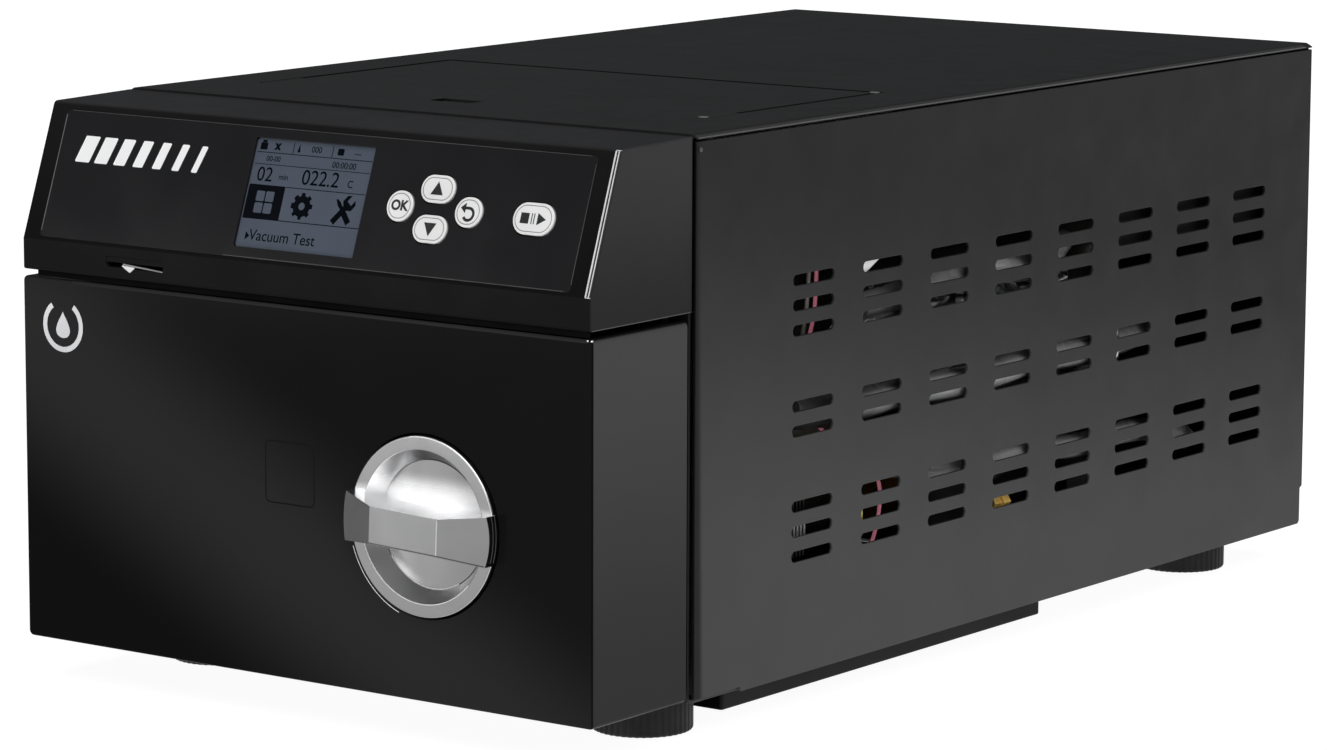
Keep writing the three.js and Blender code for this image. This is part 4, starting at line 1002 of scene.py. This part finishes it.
def handle_knob():
    """A domed dish with a chamfered rim, crossed by a faceted grip."""
    face, centre = DOOR_LOW.y, (KNOB_X, KNOB_Z)
    rim, floor, back, dome = face - 1.5, face + 5.2, -50, 2.4
    sphere = (DISH_RADIUS ** 2 + dome ** 2) / (2 * dome)
    dome_points = [(r, floor + sphere - dome - math.sqrt(sphere ** 2 - r ** 2))
                   for r in (0, 4, 8, 12, 16, 20, 24.3)]
    crown = lathe("y", [*dome_points, (24.3, floor + 2), (0, floor + 2)], centre, 128)
    on_handle("crown", crown, "satin_crown", ["handle_knob"])
    wall = fillet([(DISH_RADIUS, floor), (29.15, rim), (KNOB_RADIUS, rim), (KNOB_RADIUS, back), (0, back),
                   (0, floor + 2.2), (DISH_RADIUS, floor + 2.2)], (0.2, 0.5, 0.6, 0.3, 0, 0, 0), 5)
    on_handle("dish", lathe("y", wall, centre, 160, True), "satin_dish", ["handle_knob"])
    stations = [(x, face - reach, height / 2) for x, reach, height in
                ((-36, 4.7, 19.8), (-16, 12.9, 14.3), (16, 12.9, 14.3), (36, 4.7, 19.8))]
    block = grip_loft([(x, floor + 0.5, front, -half, half) for x, front, half in stations])
    grip = combine(block, [prism("y", circle(0, 0, KNOB_RADIUS + 0.4, 160), -120, 0)], "INTERSECT")
    turn = Matrix.Translation((KNOB_X, 0, KNOB_Z)) @ Matrix.Rotation(math.radians(KNOB_TILT), 4, "Y")
    on_handle("grip", moved(soften(grip, 0.5, 3, 12), turn), "satin_grip", ["handle_knob"])
    # Painted shadow: a dim line along the bar's lower front edge.
    line = grip_loft([(x, front + 0.4, front - 0.04, 0.2 - half, 0.65 - half) for x, front, half in stations])
    line = combine(line, [prism("y", circle(0, 0, KNOB_RADIUS, 160), -120, 0)], "INTERSECT")
    on_handle("bar_shadow_line", moved(line, turn), "edge_dim")
    # Painted highlight: a thin silver strip along the bar's right ridge.
    crest_glint = prism("z", rect(15.65, 16.25, face - 12.95, face - 12), -6.5, 6.7)
    on_handle("crest_glint", moved(crest_glint, turn), "silver_print_and_glint")
    # Painted highlights: bright arcs along the chamfer's lower left, the rim's upper right and the dish
    # floor's lower edge.
    lines = [prism("y", arc_band(*centre, radius, 0.26, start, end, 60), level - 0.04, level + 0.5)
             for radius, level, start, end in ((29.2, rim, 192, 318), (KNOB_RADIUS - 0.35, rim, 12, 100),
                                               (24.3, floor - 0.1, 215, 300))]
    on_handle("edge_glint_arcs", merged(*lines), "painted_glint_white")
    # Painted highlights: two thin silver arcs at the right of the knob's side wall.
    glint_arcs = [prism("y", arc_band(*centre, KNOB_RADIUS + 0.4, 0.16, -16, 14), level, level + 0.3)
             for level in (rim - 1.5, rim + 0.3)]
    on_handle("side_glint_arcs", merged(*glint_arcs), "silver_print_and_glint")


def door_inside():
    plate = fillet([(0, -18), (65, -18), (65, -2.5), (63.2, -2.5), (63.2, -6.5), (56, -6.5), (56, -2.5),
                    (0, -2.5)], (0, 1, 0.6, 0.3, 0, 0, 0.4, 0), 3)
    fine("pressure_plate", lathe("y", plate, CHAMBER_AXIS, 128), "stainless", body="door")
    seal = fillet([(56.4, -6.2), (62.8, -6.2), (62.8, -2), (61, -0.3), (58.2, -0.3), (56.4, -2)],
                  (0.3, 0.3, 0.8, 0.6, 0.6, 0.8), 3)
    fine("door_gasket", lathe("y", seal, CHAMBER_AXIS, 128, True), "silicone", body="door")


# ---- what shows inside the housing
def chamber():
    wall = fillet([(0, 272), (57.5, 272), (57.5, 3.7), (67, 3.7), (67, 0.3), (55, 0.3), (55, 269.5),
                   (0, 269.5)], (0, 8, 0, 0.4, 0.4, 0.8, 7, 0), 5)
    fine("chamber_vessel", lathe("y", wall, CHAMBER_AXIS, 128), "stainless")


def hoses():
    runs = {
        "upper_hose": ("grey_hose", 5.5, [
            (126, 128, 150), (130, 150, 152), (131, 180, 156), (131, 212, 160), (131, 236, 151),
            (130, 262, 156), (122, 284, 160)]),
        "middle_hose": ("grey_hose", 6.5, [
            (120, 92, 112), (130, 112, 111), (131, 150, 116), (131, 200, 110), (131, 250, 117),
            (131, 300, 112), (129, 345, 118), (118, 372, 112)]),
        "lower_hose": ("grey_hose", 5, [
            (116, 150, 84), (128, 172, 80), (132, 200, 76), (132, 244, 80), (131, 286, 72), (131, 330, 78),
            (126, 380, 66), (115, 400, 60)]),
        "sensor_lead": ("silicone", 0.8, [(130, 87, 206), (131, 88, 180), (131, 88, 145), (120, 92, 132)]),
        "steam_line": ("foil", 2.6, [
            (126, 312, 92), (133, 308, 98), (134, 308, 110), (134, 308, 122), (126, 312, 140)]),
    }
    for name, (material, radius, points) in runs.items():
        piece(name, hose(points, radius), material, "silicone")


def foil_blanket():
    """A crumpled foil sheet behind the vents."""
    x, (front, rear), (bottom, top) = 121, (118, 292), (108, 161)
    bm = bmesh.new()
    columns, rows = 60, 30
    grid = []
    for i in range(columns + 1):
        for j in range(rows + 1):
            y = front + (rear - front) * i / columns
            z = bottom + (top - bottom) * j / rows
            crumple = noise.noise(Vector((y / 13, z / 9, 3))) + 0.5 * noise.noise(Vector((y / 5, z / 4, 7)))
            grid.append(bm.verts.new((x + 5 * crumple, y, z)))
    for i in range(columns):
        for j in range(rows):
            a = i * (rows + 1) + j
            bm.faces.new((grid[a], grid[a + 1], grid[a + rows + 2], grid[a + rows + 1]))
    piece("foil_upper", bm, "foil", "stainless")


def slab(name, outlines, low, high, material, slot="moulded_black", rounding=(0.2, 0.2)):
    """Outlines in y and z, from low to high across the housing, as one piece."""
    piece(name, prisms("x", outlines, low, high, *rounding), material, slot)


def vent_contents():
    """What can be made out through the louvres."""
    slab("float_switch_cap", [[(100, 163), (109, 163), (130, 173), (100, 173)]], 134, 138, "print_white",
         "white_plastic", (0.3, 0.3))
    # The union's brass is a lighter, mostly diffuse copy: painted light.
    union = lathe("y", fillet([(0, 214), (4.5, 214), (4.5, 219), (5.6, 219), (5.6, 224), (0, 224)],
                              (0, 0.3, 0.3, 0.3, 0.3, 0), 2), (132, 60), 6)
    piece("brass_union", union, "brass_painted_lit", "brass")
    wire = hose([(131, 92, 206), (131, 92, 170), (131, 92, 145), (118, 95, 130), (105, 110, 115),
                 (120, 130, 90), (131, 137.5, 84), (131, 137.5, 71), (131, 135, 60), (127, 131, 45),
                 (122, 130, 22)], 0.75)
    # The pink wire's faint glow is painted light.
    fine("sensor_wire", wire, "pink_wire")
    slab("valve_guard", [rect(178, 236, 46, 84)], 113.2, 114.2, "liner_grey", rounding=())
    # Painted shade: a near-black strip just in front of the right panel's front edge, which keeps that gap
    # dark.
    slab("front_gap_shade_strip", [rect(-1.6, -0.4, SIDE_LOW + 1, SIDE_TOP - 62)], 128.5, HALF - 2, "rubber")
    slab("wire_tag", [rect(113.4, 116.4, 68.5, 74)], 135.5, 137, "yellow_tag", "brass")
    for name, bottom, top, low, high, material in (("terminal_block", 60, 88, 133, 135.7, "moulded_black"),
                                                   ("terminal_contacts", 68, 75, 135.6, 136.2, "print_grey")):
        ribs = [rect(70 + 2.3 * i, 71.2 + 2.3 * i, bottom, top) for i in range(4)]
        slab(name, ribs, low, high, material, rounding=(0.1, 0.2))
    slab("supply_cover", [rect(299.5, 430.5, 149.5, 212.5)], 132.4, 133.4, "dim_black")
    slab("wiring_baffle", [rect(185, 400, 100, 222)], 70, 71, "liner_grey", rounding=())


def finish_nodes():
    """Gives every CAD node the procedural material of its slot, and a fine bevel."""
    for row in frame["record"]["subparts"]:
        node = frame["nodes"][row["node"]]
        node.data.materials.clear()
        node.data.materials.append(MATERIALS[row["material_slot"]])
        if node.hide_render:
            continue
        weld = node.modifiers.new("weld", "WELD")
        weld.merge_threshold = 1e-6
        bevel = node.modifiers.new("bevel", "BEVEL")
        bevel.width, bevel.segments = 0.3 * MM, 2
        bevel.limit_method, bevel.angle_limit = "ANGLE", math.radians(40)


make_camera()
make_light()
make_floor()
MATERIALS = make_materials()
side_panel("left")
side_panel("right")
top_cover()
reservoir_lid()
feet()
bottom_pan()
fascia_shell()
control_overlay()
lcd_module()
lcd_graphics()
keys()
trim_strip()
lip_port()
door_shell()
door_marks()
handle_knob()
door_inside()
chamber()
hoses()
foil_blanket()
vent_contents()
small_fixings()
finish_nodes()

bpy.context.scene.view_settings.view_transform = "Standard"
